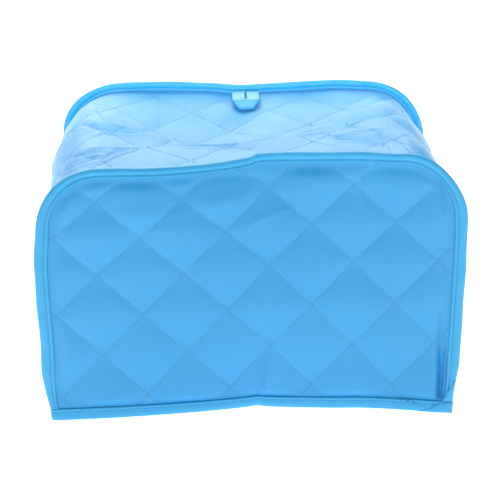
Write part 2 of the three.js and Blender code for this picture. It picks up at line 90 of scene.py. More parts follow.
# Studio
# A plain white floor that glows a little, under even white light. Three soft lamps above and behind the
# cover make its top the lightest face, and a narrow strip of light reaches its back tape.
class Value:
    """A socket of a finish, with arithmetic that adds the finish's Math nodes."""

    def __init__(self, finish, socket):
        self.finish = finish
        self.socket = socket

    def maths(self, operation, *values):
        sockets = dict(enumerate(values))
        return self.finish.add("Math", {"operation": operation}, sockets)

    def __add__(self, other):
        return self.maths("ADD", self, other)

    def __radd__(self, other):
        return self.maths("ADD", other, self)

    def __sub__(self, other):
        return self.maths("SUBTRACT", self, other)

    def __rsub__(self, other):
        return self.maths("SUBTRACT", other, self)

    def __mul__(self, other):
        return self.maths("MULTIPLY", self, other)

    def __rmul__(self, other):
        return self.maths("MULTIPLY", other, self)

    def sine(self):
        return self.maths("SINE", self)

    def fade(self, start, end):
        """1 up to a start and 0 from an end."""
        settings = {"interpolation_type": "SMOOTHSTEP"}
        return self.finish.add("MapRange", settings, {0: self, 1: start, 2: end, 3: 1.0, 4: 0.0})


class Finish:
    """A material, with one method that adds any node to its tree."""

    def __init__(self, name):
        self.material = bpy.data.materials.new(name)
        self.material.use_nodes = True
        self.tree = self.material.node_tree
        self.tree.nodes.clear()

    def add(self, kind, settings=None, values=None, output=0):
        node = self.tree.nodes.new("ShaderNode" + kind)
        for name, setting in (settings or {}).items():
            setattr(node, name, setting)
        for name, value in (values or {}).items():
            if isinstance(value, Value):
                self.tree.links.new(value.socket, node.inputs[name])
            else:
                node.inputs[name].default_value = value
        return Value(self, node.outputs[output] if len(node.outputs) else None)

    def mix(self, factor, first, second):
        """A colour between two, by a factor from 0 to 1."""
        settings = {"data_type": "RGBA", "clamp_factor": True}
        return self.add("Mix", settings, {0: factor, 6: first, 7: second}, output=2)


floor_finish = Finish("studio_floor")
floor_shader = floor_finish.add(
    "BsdfPrincipled",
    values={
        "Base Color": (0.9, 0.9, 0.9, 1),
        "Roughness": 0.9,
        "Specular IOR Level": 0.1,
        "Emission Color": (1, 1, 1, 1),
        "Emission Strength": 0.88,
    },
)
floor_finish.add("OutputMaterial", values={"Surface": floor_shader})
FLOOR_HALF_SIZE = 6.0
FLOOR_LEVEL = -0.0002  # just under the hem
floor_mesh = bpy.data.meshes.new("studio_floor")
floor_corners = [
    (x * FLOOR_HALF_SIZE, y * FLOOR_HALF_SIZE, FLOOR_LEVEL)
    for x, y in ((-1, -1), (1, -1), (1, 1), (-1, 1))
]
floor_mesh.from_pydata(floor_corners, [], [(0, 1, 2, 3)])
floor_mesh.materials.append(floor_finish.material)
floor = bpy.data.objects.new("studio_floor", floor_mesh)
bpy.context.scene.collection.objects.link(floor)

world = bpy.data.worlds.new("studio")
world.use_nodes = True
world.node_tree.nodes["Background"].inputs["Color"].default_value = (1, 1, 1, 1)
world.node_tree.nodes["Background"].inputs["Strength"].default_value = 0.5
bpy.context.scene.world = world
bpy.context.scene.view_settings.view_transform = "Standard"

LAMPS = [
    # what it faces, azimuth and height in degrees, distance and size in metres, power in watts
    ("lamp_above", CAMERA_TARGET, 180, 76, 1.5, 1.2, 3),
    ("lamp_behind", CAMERA_TARGET, 180, 38, 2.0, 1.8, 30),
    ("lamp_behind_left", CAMERA_TARGET, -145, 30, 1.8, 1.0, 7.5),
    ("strip_on_back_tape", Vector((0, 0.09, 0.205)), 0, 17, 1.5, 0.34, 0.07),
]
for name, faced, azimuth, height, distance, size, power in LAMPS:
    lamp_data = bpy.data.lights.new(name, "AREA")
    lamp_data.energy = power
    lamp_data.size = size
    lamp = bpy.data.objects.new(name, lamp_data)
    bpy.context.scene.collection.objects.link(lamp)
    towards_lamp = direction_from(azimuth, height)
    lamp.location = faced + towards_lamp * distance
    lamp.rotation_euler = towards_lamp.to_track_quat("Z", "Y").to_euler()
# The strip's narrow sheet of light passes over the front and reaches the back tape and the top before it
STRIP_HEIGHT = 0.04
STRIP_SPREAD_DEGREES = 6
strip_data = bpy.data.lights["strip_on_back_tape"]
strip_data.shape = "RECTANGLE"
strip_data.size_y = STRIP_HEIGHT
strip_data.spread = math.radians(STRIP_SPREAD_DEGREES)


# Front panel
# One piece of polyester cloth quilted to thin wadding in crossed diagonal lines of stitches, cut with
# flat sides and bottom and two round top corners. Its raw edges go into the seam tape and the hem tape.
MM = 0.001
PANEL_HALF_WIDTH = 145
PANEL_HEIGHT = 196
TAPE_WIDTH = 9
TAPE_WIDTH_AT_HEM = 5.4
TAPE_WIDTH_ON_TOP = 6.5
HEM_HEIGHT = 10
SEAM_HALF_WIDTH = PANEL_HALF_WIDTH - TAPE_WIDTH
SEAM_TOP = PANEL_HEIGHT - TAPE_WIDTH_ON_TOP
SEAM_RADIUS = 36
LEG_LENGTH = SEAM_TOP - SEAM_RADIUS
ARCH_LENGTH = math.pi / 2 * SEAM_RADIUS
HALF_TOP = SEAM_HALF_WIDTH - SEAM_RADIUS
SEAM_LENGTH = 2 * (LEG_LENGTH + ARCH_LENGTH + HALF_TOP)
PANEL_PLANE = 87.3  # from mid-depth to the middle of the panel's cloth
GUSSET_LAYER = -1.5  # the gusset's edge lies this far behind the panel's inside the tape
PRESSED_HALF = 0.6  # half the thickness of the cloth inside a tape
CLOTH_BOTTOM = 1.1
INSIDE_TAPE = 1.7  # the cloth's edge stops this far short of the tape's outer fold

# How the panel stands, as in the solids: pairs of a place and an amount
FRONT_CROWN = [
    (-145, -4), (-100, -5), (-60, -5), (-19, -2.5), (0, 1.3), (20, 3), (64, 3.5), (95, 2.2), (145, 1),
]
FRONT_HEM = [
    (-142, 1), (-98, 3), (-45, 8), (-21, 11.3), (1, 14), (24, 12.5), (55, 10.3), (80, 9.2), (112, 4.5),
    (128, 1.2), (142, 0),
]
FRONT_LEFT_EDGE = [(0, -4), (28, -5), (60, -3.8), (97, -4), (125, -3.6), (150, -0.8), (175, 0.8), (200, 0)]
FRONT_RIGHT_EDGE = [(0, 0), (30, 0), (90, 0), (140, -0.5), (175, -3.2), (200, -4)]
FRONT_HEM_REACH = 90

# The seam frame's place in the row frame, read from two solids
loop_low, loop_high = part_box("hanging_loop")
back_tape_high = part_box("back_binding")[1]
LOOP_X = -1
SOLID_TAPE_FACE = 1.7  # the outer face of the solid tape, from the panel's plane
seam_frame = np.array(
    [
        (loop_low.x + loop_high.x) / 2 - LOOP_X * MM,
        back_tape_high.y - (PANEL_PLANE + SOLID_TAPE_FACE) * MM,
        0,
    ]
)


def smooth(start, end, value):
    """0 before start, 1 after end, and a smooth rise between them."""
    share = np.clip((value - start) / (end - start), 0, 1)
    return share * share * (3 - 2 * share)


def along(rows, at, column=1):
    """A column of a table at a place in its first column, on a smooth curve through its rows."""
    table = np.array(rows, float)
    keys = table[:, 0]
    amounts = table[:, column]
    slopes = np.empty(len(keys))
    slopes[1:-1] = (amounts[2:] - amounts[:-2]) / (keys[2:] - keys[:-2])
    slopes[0] = (amounts[1] - amounts[0]) / (keys[1] - keys[0])
    slopes[-1] = (amounts[-1] - amounts[-2]) / (keys[-1] - keys[-2])
    at = np.clip(np.asarray(at, float), keys[0], keys[-1])
    k = np.clip(np.searchsorted(keys, at, side="right") - 1, 0, len(keys) - 2)
    width = keys[k + 1] - keys[k]
    u = (at - keys[k]) / width
    v = 1 - u
    return (
        amounts[k] * v * v * (1 + 2 * u)
        + amounts[k + 1] * u * u * (1 + 2 * v)
        + slopes[k] * width * u * v * v
        - slopes[k + 1] * width * u * u * v
    )


def unevenness(u, v, wavelength, seed):
    """Smooth random unevenness, mostly within -1 and 1, over a surface."""
    random = np.random.default_rng(seed)
    total = 0
    for _ in range(6):
        angle = random.uniform(0, 2 * math.pi)
        phase = random.uniform(0, 2 * math.pi)
        wave = 2 * math.pi / (wavelength * random.uniform(0.7, 1.6))
        total = total + np.sin(wave * (u * math.cos(angle) + v * math.sin(angle)) + phase)
    return total / 3


def seam_at(s):
    """The seam line in the panel's plane and the direction outwards, at a length s from the left hem."""
    from_top = np.asarray(s, float) - SEAM_LENGTH / 2
    side = np.where(from_top < 0, -1, 1)
    beyond = np.abs(from_top) - HALF_TOP
    angle = np.clip(beyond / SEAM_RADIUS, 0, math.pi / 2)
    out_x = side * np.sin(angle)
    out_z = np.cos(angle)
    x = np.clip(from_top, -HALF_TOP, HALF_TOP) + SEAM_RADIUS * out_x
    z = LEG_LENGTH + SEAM_RADIUS * out_z - np.maximum(beyond - ARCH_LENGTH, 0)
    return x, z, out_x, out_z


def within_seam(x, z):
    """How far a place on the flat panel lies inside the seam line."""
    side = np.abs(x) - HALF_TOP
    up = z - LEG_LENGTH
    straight = np.minimum(SEAM_HALF_WIDTH - np.abs(x), SEAM_TOP - z)
    return np.where((side > 0) & (up > 0), SEAM_RADIUS - np.hypot(side, up), straight)


FULL_WIDTH_FROM = 40
FULL_WIDTH_TO = 150


def tape_width(z):
    """The width of the bound edge at a height, narrower towards the hem and over the top."""
    share = np.clip((z - HEM_HEIGHT) / (FULL_WIDTH_FROM - HEM_HEIGHT), 0, 1)
    over = smooth(FULL_WIDTH_TO, SEAM_TOP, z)
    side = TAPE_WIDTH_AT_HEM + (TAPE_WIDTH - TAPE_WIDTH_AT_HEM) * share
    return side + (TAPE_WIDTH_ON_TOP - TAPE_WIDTH) * over


CROWN_HOLLOW = 4
CROWN_HOLLOW_X = -4
CROWN_HOLLOW_HALF_WIDTH = 40
CROWN_HOLLOW_FROM = 130
# The packing crease at mid-width is sharper than in the solids, at the hem and at the top
CREASE_DEPTH = 2.2
CREASE_X = 2
CREASE_HALF_WIDTH = 5
CREASE_REACH = 22
CROWN_STEP = 0.9
CROWN_STEP_X = 0.5
CROWN_STEP_SHARPNESS = 1.3
CROWN_STEP_REACH = 14


def front_point(x, z, out):
    """From the flat front panel to where it stands."""
    upward = z / PANEL_HEIGHT
    faded = np.maximum(0, 1 - z / FRONT_HEM_REACH) ** 1.5
    upper = np.maximum(0, z - CROWN_HOLLOW_FROM) / (PANEL_HEIGHT - CROWN_HOLLOW_FROM)
    hollow = np.exp(-(((x - CROWN_HOLLOW_X) / CROWN_HOLLOW_HALF_WIDTH) ** 2))
    inward = along(FRONT_HEM, x) * faded + CROWN_HOLLOW * hollow * upper**2
    crease = CREASE_DEPTH * np.exp(-np.abs(x - CREASE_X) / CREASE_HALF_WIDTH)
    inward = inward + crease * np.exp(-z / CREASE_REACH)
    from_step = x - CROWN_STEP_X
    near_step = np.exp(-((from_step / CROWN_STEP_REACH) ** 2))
    step = CROWN_STEP * np.tanh(from_step / CROWN_STEP_SHARPNESS) * near_step
    rise = (along(FRONT_CROWN, x) + step) * upward
    edge = np.where(x < 0, along(FRONT_LEFT_EDGE, z), along(FRONT_RIGHT_EDGE, z))
    pulled = x + edge * (x / PANEL_HALF_WIDTH) ** 2
    return np.stack(np.broadcast_arrays(pulled, -PANEL_PLANE + inward - out, z + rise), axis=-1)


# Quilting: diamonds between crossed lines of stitches, whose numbers a and b count the lines
LINE_SPACING = 42
PUFF_HEIGHT = 2.5
PUFF_ROUNDNESS = 0.72
VALLEY_HALF_WIDTH = 0.7
THREAD_PUCKER = 0.18
THREAD_PUCKER_PITCH = 7.2
THREAD_PUCKER_REACH = 4.5


def quilt_lines(u, v, across_pitch, up_pitch, origin_u, origin_v, tilt_degrees=0, easing=0):
    """The two line numbers at a place on the flat cloth. Whole numbers are on a line of stitches."""
    tilt = math.radians(tilt_degrees)
    du = u - origin_u
    dv = v - origin_v
    across = (du * math.cos(tilt) + dv * math.sin(tilt)) / across_pitch
    rise = dv * math.cos(tilt) - du * math.sin(tilt)
    up = 2 * rise / (up_pitch + np.sqrt(up_pitch**2 - 4 * easing * rise))
    return across + up, across - up


def place_on_cloth(a, b, across_pitch, up_pitch, origin_u, origin_v, tilt_degrees=0, easing=0):
    """The place on the flat cloth at two line numbers. Easing draws the lines closer further up."""
    tilt = math.radians(tilt_degrees)
    up = (a - b) / 2
    du = (a + b) / 2 * across_pitch
    dv = up * up_pitch - easing * up**2
    u = du * math.cos(tilt) - dv * math.sin(tilt) + origin_u
    v = dv * math.cos(tilt) + du * math.sin(tilt) + origin_v
    return u, v


def puffs(a, b, seed, fullness=1.0):
    """Height of the quilting over its lines of stitches, in mm, with the puckers that the thread pulls."""
    valley = math.sin(math.pi * VALLEY_HALF_WIDTH / LINE_SPACING)
    sides = [np.sqrt(np.sin(math.pi * line) ** 2 + valley**2) - valley for line in (a, b)]
    full = (sides[0] * sides[1]) ** PUFF_ROUNDNESS
    height = PUFF_HEIGHT * fullness * full
    for line, other, shift in ((a, b, 0), (b, a, 1)):
        beside = np.abs(line - np.round(line)) * LINE_SPACING
        length = other * LINE_SPACING
        number = np.round(line)
        drift = unevenness(length, number * 50, 60, seed + shift)
        strength = 0.55 + 0.45 * unevenness(length, number * 37, 45, seed + 2 + shift)
        wave = np.sin(2 * math.pi * (length + 5 * drift) / THREAD_PUCKER_PITCH + number * 2.1)
        fading = np.exp(-beside / THREAD_PUCKER_REACH) * smooth(0, 1.6, beside)
        height = height + THREAD_PUCKER * strength * wave * fading
    return height


def grid_faces(rows, columns):
    """Quads between the points of a grid, row by row."""
    corner = np.arange(rows - 1)[:, None] * columns + np.arange(columns - 1)[None, :]
    return np.stack([corner, corner + 1, corner + columns + 1, corner + columns], axis=-1).reshape(-1, 4)


def add_piece(name, points, faces, uvs, finish, line_numbers=None):
    """A finished mesh from points in mm, faces and one flat-cloth place for each point."""
    mesh = bpy.data.meshes.new(name)
    mesh.from_pydata((np.asarray(points) * MM + seam_frame).tolist(), [], [list(face) for face in faces])
    shape = bmesh.new()
    shape.from_mesh(mesh)
    if shape.calc_volume(signed=True) < 0:
        bmesh.ops.reverse_faces(shape, faces=shape.faces)
    shape.to_mesh(mesh)
    shape.free()
    corner_vertices = np.empty(len(mesh.loops), np.int32)
    mesh.loops.foreach_get("vertex_index", corner_vertices)
    flat = mesh.uv_layers.new(name="flat_cloth")
    flat.uv.foreach_set("vector", (np.asarray(uvs, np.float32) * MM)[corner_vertices].ravel())
    if line_numbers is not None:
        lines = mesh.uv_layers.new(name="quilting_lines")
        lines.uv.foreach_set("vector", np.asarray(line_numbers, np.float32)[corner_vertices].ravel())
    mesh.polygons.foreach_set("use_smooth", [True] * len(mesh.polygons))
    mesh.update()
    mesh.materials.append(finish.material)
    piece = bpy.data.objects.new(name, mesh)
    bpy.context.scene.collection.objects.link(piece)
    return piece


def cloth_sheet(name, outer, inner, uv, quilt, finish):
    """A closed sheet of cloth from the grids of points on its two faces."""
    rows, columns = outer.shape[:2]
    count = rows * columns
    points = np.concatenate([outer.reshape(-1, 3), inner.reshape(-1, 3)])
    face_quads = grid_faces(rows, columns)
    index = np.arange(count).reshape(rows, columns)
    rim = np.concatenate([index[0, :-1], index[:-1, -1], index[-1, :0:-1], index[:0:-1, 0]])
    following = np.roll(rim, -1)
    rim_quads = np.stack([following, rim, rim + count, following + count], axis=-1)
    faces = np.concatenate([face_quads, face_quads[:, ::-1] + count, rim_quads])
    uvs = np.concatenate([uv.reshape(-1, 2)] * 2)
    line_numbers = None
    if quilt is not None:
        line_numbers = np.stack(quilt_lines(uvs[:, 0], uvs[:, 1], **quilt), axis=-1)
    return add_piece(name, points, faces.tolist(), uvs, finish, line_numbers)


def linear(red, green, blue):
    """A colour given in 0 to 255 as a screen shows it, as the linear colour that a shader takes."""
    shares = [channel / 255 for channel in (red, green, blue)]
    return tuple(c / 12.92 if c <= 0.04045 else ((c + 0.055) / 1.055) ** 2.4 for c in shares) + (1.0,)


def painted_stitch_shade(finish):
    """Painted shade along the cloth's lines of stitches: the shade in a fine groove, and a darker spot of
    painted shade at each needle hole.
    """
    numbers = finish.add("UVMap", {"uv_map": "quilting_lines"})
    first = finish.add("SeparateXYZ", values={"Vector": numbers})
    second = Value(finish, first.socket.node.outputs[1])
    groove_shades = []
    for line, other in ((first, second), (second, first)):
        beside = line.maths("PINGPONG", line, 0.5) * LINE_SPACING
        hole_shade = (other * (2 * math.pi * LINE_SPACING / STITCH_PITCH)).sine()
        hole_shade = hole_shade.maths("MAXIMUM", hole_shade, 0.0) * beside.fade(0.25, 0.6)
        groove_shades.append(0.45 * beside.fade(0.15, 0.9) + 0.55 * hole_shade)
    return groove_shades[0].maths("MAXIMUM", *groove_shades)


def cloth_finish(name, deep, pale, thread_mm, weave_depth, quilted=False):
    """Woven satin-faced polyester: fine crossed threads, faint streaks along them and a soft shine. Quilted
    cloth also gets painted shade along its lines of stitches.
    """
    finish = Finish(name)
    place = finish.add("UVMap", {"uv_map": "flat_cloth"})
    across = finish.add("SeparateXYZ", values={"Vector": place})
    up = Value(finish, across.socket.node.outputs[1])
    turns = 2 * math.pi / (thread_mm * MM)
    weave = (across * turns).sine() * (up * turns).sine()
    streak_place = finish.add("Mapping", values={"Vector": place, "Scale": (900, 70, 1)})
    streaks = finish.add("TexNoise", values={"Vector": streak_place, "Scale": 1.0, "Detail": 3.0})
    patches = finish.add("TexNoise", values={"Vector": place, "Scale": 26.0, "Detail": 2.0})
    crumple_values = {"Vector": place, "Scale": 240.0, "Detail": 4.0, "Roughness": 0.6}
    crumple = finish.add("TexNoise", values=crumple_values)
    tone = streaks * 0.45 + patches * 0.55 + weave * 0.06
    colour = finish.mix(tone, linear(*deep), linear(*pale))
    if quilted:
        # Painted shade along the quilting lines, darkening the cloth's colour in the grooves and at the
        # needle holes
        colour = finish.mix(painted_stitch_shade(finish) * STITCH_SHADE_SHARE, colour, linear(*STITCH_SHADE_BLUE))
    roughness = 0.34 + 0.16 * crumple
    relief = weave * weave_depth + crumple * 0.9
    bump = finish.add("Bump", values={"Strength": 0.35, "Distance": 0.00022, "Height": relief})
    shader = finish.add(
        "BsdfPrincipled",
        values={
            "Base Color": colour,
            "Roughness": roughness,
            "Normal": bump,
            "Specular IOR Level": 0.8,
            "Sheen Weight": 0.34,
            "Sheen Roughness": 0.35,
            "Sheen Tint": (0.85, 0.95, 1.0, 1.0),
        },
    )
    finish.add("OutputMaterial", values={"Surface": shader})
    return finish


STITCH_PITCH = 3.1
CLOTH_BLUE_DEEP = (12, 158, 226)
CLOTH_BLUE_PALE = (24, 171, 236)
# The colour and the share of the painted shade along the quilting lines
STITCH_SHADE_BLUE = (14, 112, 168)
STITCH_SHADE_SHARE = 0.38
quilted_cloth = cloth_finish("quilted_cloth", CLOTH_BLUE_DEEP, CLOTH_BLUE_PALE, 0.55, 0.35, quilted=True)

FRONT_QUILT = {
    "across_pitch": 57.4,
    "up_pitch": 67,
    "origin_u": 11.1,
    "origin_v": 54.7,
    "tilt_degrees": 0.7,
    "easing": 3.9,
}
PANEL_COLUMNS = 236
PANEL_ROWS = 166


def looseness(x, z):
    """0 where a tape presses the panel flat and 1 where nothing holds it."""
    return smooth(1.5, 9, within_seam(x, z)) * smooth(HEM_HEIGHT + 0.5, HEM_HEIGHT + 7, z)


def panel_relief(x, z, quilt, seed):
    """How far the panel's outer face stands over its middle."""
    a, b = quilt_lines(x, z, **quilt)
    return PRESSED_HALF + looseness(x, z) * puffs(a, b, seed)


def soft_rise(across, up, centre, size, tilt_degrees=0):
    """A soft round-topped rise of height 1, as wide and as high as size, tilted on the cloth."""
    tilt = math.radians(tilt_degrees)
    du = across - centre[0]
    dv = up - centre[1]
    along_it = (du * math.cos(tilt) + dv * math.sin(tilt)) / size[0]
    over_it = (dv * math.cos(tilt) - du * math.sin(tilt)) / size[1]
    return np.exp(-(along_it**2) - over_it**2)


# Where the front has puckered: middle, half width and half height, tilt in degrees and rise
FRONT_PUCKERS = [
    ((-70, 162), (24, 6), 1, 1.0),
    ((-20, 168), (22, 6.5), 4, 1.0),
    ((44, 177), (26, 6.5), 0, 0.6),
    ((100, 176), (18, 6), -3, 0.35),
    ((-98, 150), (14, 9), 30, 0.6),
    ((-62, 152), (24, 5), -3, 0.5),
    ((8, 153), (17, 3), 20, 0.45),
    ((5, 30), (2.2, 22), -6, -1.3),
    ((10, 30), (3, 22), -6, 1.3),
    ((60, 120), (30, 6), 20, 0.35),
]


TROUGH_X = 129
TROUGH_SHIFT_AT_FOOT = 4
TROUGH_DEPTH = 1.3
TROUGH_DEPTH_AT_FOOT = 3.4
TROUGH_HALF_WIDTH = 3
# The low ridge beside the trough
RIDGE_HEIGHT = 1.2
RIDGE_OFFSET = 8
RIDGE_HALF_WIDTH = 4


def front_cockle(x, z):
    """Unevenness of the front that the quilting rides on: puckers, and a trough by its right edge."""
    puckers = sum(rise * soft_rise(x, z, centre, size, tilt) for centre, size, tilt, rise in FRONT_PUCKERS)
    from_trough = x - (TROUGH_X + TROUGH_SHIFT_AT_FOOT * smooth(100, 30, z))
    depth = TROUGH_DEPTH * smooth(192, 170, z) + TROUGH_DEPTH_AT_FOOT * smooth(85, 20, z)
    above_hem = smooth(HEM_HEIGHT, HEM_HEIGHT + 5, z)
    trough = depth * np.exp(-((from_trough / TROUGH_HALF_WIDTH) ** 2)) * above_hem
    from_ridge = from_trough + RIDGE_OFFSET
    ridge = RIDGE_HEIGHT * smooth(90, 30, z) * np.exp(-((from_ridge / RIDGE_HALF_WIDTH) ** 2))
    return looseness(x, z) * (unevenness(x, z, 85, 7) * 0.9 + puckers + ridge) - trough


def panel_sheet(name, point, quilt, cockle, seed, finish):
    """A panel's cloth on a grid that follows its outline."""
    top = PANEL_HEIGHT - INSIDE_TAPE
    z = np.linspace(CLOTH_BOTTOM, top, PANEL_ROWS)[:, None]
    share = np.linspace(-1, 1, PANEL_COLUMNS)[None, :]
    reach = tape_width(z) - INSIDE_TAPE
    round_corner = np.sqrt(np.maximum((SEAM_RADIUS + reach) ** 2 - np.maximum(z - LEG_LENGTH, 0) ** 2, 0))
    half_width = np.where(z > LEG_LENGTH, HALF_TOP + round_corner, SEAM_HALF_WIDTH + reach)
    x = share * half_width
    z = np.broadcast_to(z, x.shape)
    relief = panel_relief(x, z, quilt, seed)
    sag = cockle(x, z)
    outer = point(x, z, sag + relief)
    inner = point(x, z, sag - PRESSED_HALF - 0.55 * (relief - PRESSED_HALF))
    return cloth_sheet(name, outer, inner, np.stack([x, z], axis=-1), quilt, finish)


front_cloth = panel_sheet("front_quilting", front_point, FRONT_QUILT, front_cockle, 21, quilted_cloth)
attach(front_cloth, "root")
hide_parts("front_panel")


# Back panel
# The same cloth and outline as the front, hanging a little slack, with its own run of diamonds. It is
# bound into the back seam and the hem in the same way.
BACK_LEFT_EDGE = [(0, 0), (90, 0), (140, 0.5), (175, -1.5), (200, -2)]
BACK_RIGHT_EDGE = [(0, 0), (90, -1.5), (140, -3), (175, -6.3), (200, -7)]
BACK_CROWN = [
    (-145, 0), (-114, 0.8), (-90, 2.1), (-60, 2.1), (-31, 1.2), (-8, -0.8), (15, -0.2), (45, 0.8),
    (70, 1.6), (94, 0.3), (120, -0.7), (145, -0.5),
]
BACK_BOW = 5
BACK_QUILT = {"across_pitch": 57.8, "up_pitch": 59, "origin_u": -14, "origin_v": 60, "tilt_degrees": -0.8}


def back_point(x, z, out):
    """From the flat back panel to where it stands."""
    across = (1 - (x / PANEL_HALF_WIDTH) ** 2) ** 2
    upwards = np.sin(math.pi * z / PANEL_HEIGHT)
    inward = BACK_BOW * across * (0.3 + 0.7 * upwards)
    rise = along(BACK_CROWN, x) * z / PANEL_HEIGHT
    edge = np.where(x < 0, along(BACK_LEFT_EDGE, z), along(BACK_RIGHT_EDGE, z))
    pulled = x + edge * (x / PANEL_HALF_WIDTH) ** 2
    return np.stack(np.broadcast_arrays(pulled, PANEL_PLANE - inward + out, z + rise), axis=-1)


def back_cockle(x, z):
    """Soft unevenness of the back that the quilting rides on."""
    return looseness(x, z) * (unevenness(x, z, 80, 31) + unevenness(x, z * 0.6, 30, 32) * 0.3)


back_cloth = panel_sheet("back_quilting", back_point, BACK_QUILT, back_cockle, 41, quilted_cloth)
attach(back_cloth, "root")
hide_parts("back_panel")


# Gusset
# One strip of the same quilted cloth, up the left side, over the top and down the right side. Its two
# long edges turn up into the seam tapes. Nothing holds the top up, so it has sunk into sharp folds.
GUSSET_SPAN = 2 * (PANEL_PLANE + GUSSET_LAYER)
GUSSET_INSET = 1.3
BESIDE_SEAM = 3
GUSSET_QUILT = {
    "across_pitch": 57.9,
    "up_pitch": 54.4,
    "origin_u": SEAM_LENGTH / 2 - 13.4,
    "origin_v": GUSSET_SPAN - 9.6,
}
# length from the hem, and how far the left and the right side stand out there
SIDE_BOW = [
    (0, -2.5, -2.5), (60, -4, -4), (110, 3, 0), (145, 8.5, 4.5), (180, 6.5, 0.8), (215, 2, 0),
    (245, -1, -1),
]
SIDE_BOW_SKEW = 0.7

# Each fold drops away behind a crest and then rises again over its reach towards the back. Given are the
# width of the drop's edge, how soon it rises, and the crest's rows: x from mid-width, y from mid-depth,
# the drop and the reach.
TOP_FOLDS = {
    "dish below the loop": (5, 1, [
        (-118, 65, 0, 21), (-107, 20, 3, 66), (-100, 10, 4.5, 76), (-90, 5, 6.5, 81), (-76, -3, 9, 89),
        (-60, -14, 11, 100), (-47, -27, 12.5, 113), (-25, -27, 13, 113), (-11, -29, 12.5, 115),
        (3, -33, 12, 119), (21, -25, 11, 111), (45, -10, 9.5, 96), (64, 12, 8, 74), (78, 22, 6.5, 64),
        (98, 41, 4, 45), (126, 85, 0, 8),
    ]),
    "bulge behind the front seam": (4, 1.1, [
        (-130, -34, 0, 30), (-109, -38, 1, 45), (-100, -38, 2, 42), (-80, -32, 3, 34), (-46, -35, 3, 12),
        (-35, -35, 2.6, 10), (-20, -39, 3, 14), (-1, -55, 4, 24), (7, -62, 4.5, 34), (22, -72, 5, 50),
        (60, -64, 3, 50), (120, -66, 0, 30),
    ]),
    "left fold in front of the dish": (3, 1.3, [
        (-150, 34, 0, 10), (-124, 18, 0.8, 14), (-109, -3, 1.5, 16), (-99, -7, 2, 16), (-86, -8, 2, 12),
        (-76, -5, 0, 8),
    ]),
    "short fold by the left seam": (3, 1.3, [
        (-101, -60, 0, 8), (-97, -54, 1.8, 10), (-93, -48, 2.2, 12), (-86, -44, 2.2, 14),
        (-70, -35, 0, 10),
    ]),
    "lower left shoulder fold": (3, 1.3, [
        (-162, -8, 0, 10), (-136, -25, 0.8, 14), (-122, -43, 1.8, 14), (-115, -47, 1.8, 14),
        (-108, -49, 1.8, 12), (-103, -49, 1.5, 10), (-99, -51, 0, 8),
    ]),
    "middle left shoulder fold": (4, 1.2, [
        (-166, 22, 0, 14), (-139, 0, 1, 20), (-131, -7, 2.2, 24), (-120, -13, 2.2, 26),
        (-111, -9, 1.4, 20), (-103, -7, 0, 10),
    ]),
    "front left shoulder fold": (3.5, 1.2, [
        (-166, -30, 0, 10), (-139, -45, 0.8, 16), (-127, -58, 2, 18), (-116, -61, 2.2, 18),
        (-108, -59, 1.4, 14), (-101, -57, 0, 8),
    ]),
    "upper left shoulder wrinkle": (3, 1.3, [
        (-152, 30, 0, 8), (-132, 17, 0.6, 10), (-122, 12, 1.2, 12), (-113, 12, 1.3, 12), (-108, 19, 0, 8),
    ]),
    "back left shoulder wrinkle": (3, 1.3, [
        (-148, 38, 0, 8), (-128, 31, 0.6, 10), (-121, 33, 1.1, 12), (-114, 35, 1.1, 12), (-110, 44, 0, 8),
    ]),
    "upper right fold": (3, 1.2, [
        (49, -8, 0, 8), (62, -5, 1.8, 12), (74, -1, 2.4, 16), (86, 6, 2.6, 20), (98, 12, 2.2, 24),
        (114, 25, 1, 26), (128, 44, 0, 20),
    ]),
    "middle right fold": (3.5, 1.2, [
        (15, -31, 0, 8), (35, -22, 1, 10), (50, -16, 1.6, 12), (65, -17, 2.2, 16), (83, -17, 2.6, 22),
        (106, -11, 1.8, 26), (126, -2, 0, 20),
    ]),
    "lower right fold": (4, 1, [
        (48, -22, 0, 6), (54, -27, 1.8, 8), (61, -36, 3.6, 12), (69, -40, 4.4, 18), (80, -44, 4.8, 26),
        (88, -50, 4.8, 34), (95, -55, 3.6, 38), (98, -68, 2, 36), (118, -64, 0, 20),
    ]),
    "fold at the right shoulder": (3.5, 1.2, [
        (88, -34, 0, 10), (95, -36, 2, 18), (100, -40, 3, 24), (106, -45, 3, 28), (110, -54, 2.4, 28),
        (113, -66, 1.4, 24), (146, -66, 0, 16),
    ]),
}


LEAST_REACH = 4
LIP_HEIGHT = 0.5
LIP_HALF_WIDTH = 1.5


def fold_drop(step, slack, crest, x, y):
    """How far a fold lets the cloth down at a place on the top, behind the low lip of its crest."""
    behind = y - along(crest, x, column=1)
    drop = np.maximum(along(crest, x, column=2), 0)
    reach = np.maximum(along(crest, x, column=3), LEAST_REACH)
    risen = np.clip(1 - behind / reach, 0, 1) ** slack
    lip = LIP_HEIGHT * smooth(0, 2, drop) * np.exp(-((behind / LIP_HALF_WIDTH) ** 2))
    return drop * smooth(0, step, behind) * risen - lip


def gusset_drop(s, from_front):
    """How far the gusset lies inside the straight line from seam to seam."""
    x = s - SEAM_LENGTH / 2
    y = from_front - GUSSET_SPAN / 2
    from_back = np.clip((GUSSET_SPAN - BESIDE_SEAM - from_front) / (GUSSET_SPAN - 2 * BESIDE_SEAM), 0, 1)
    drop = sum(fold_drop(*fold, x, y) for fold in TOP_FOLDS.values())
    beside = smooth(0, 10, from_front - BESIDE_SEAM) * smooth(0, 10, GUSSET_SPAN - BESIDE_SEAM - from_front)
    from_hem = SEAM_LENGTH / 2 - np.abs(x)
    standing_out = np.where(x < 0, along(SIDE_BOW, from_hem, 1), along(SIDE_BOW, from_hem, 2))
    bow = np.sin(math.pi * from_back**SIDE_BOW_SKEW) * standing_out
    cockle = unevenness(s, from_front, 60, 51) * 0.8 + unevenness(s, from_front, 22, 52) * 0.25
    return drop * beside - bow - cockle * beside * smooth(HEM_HEIGHT, 40, from_hem)


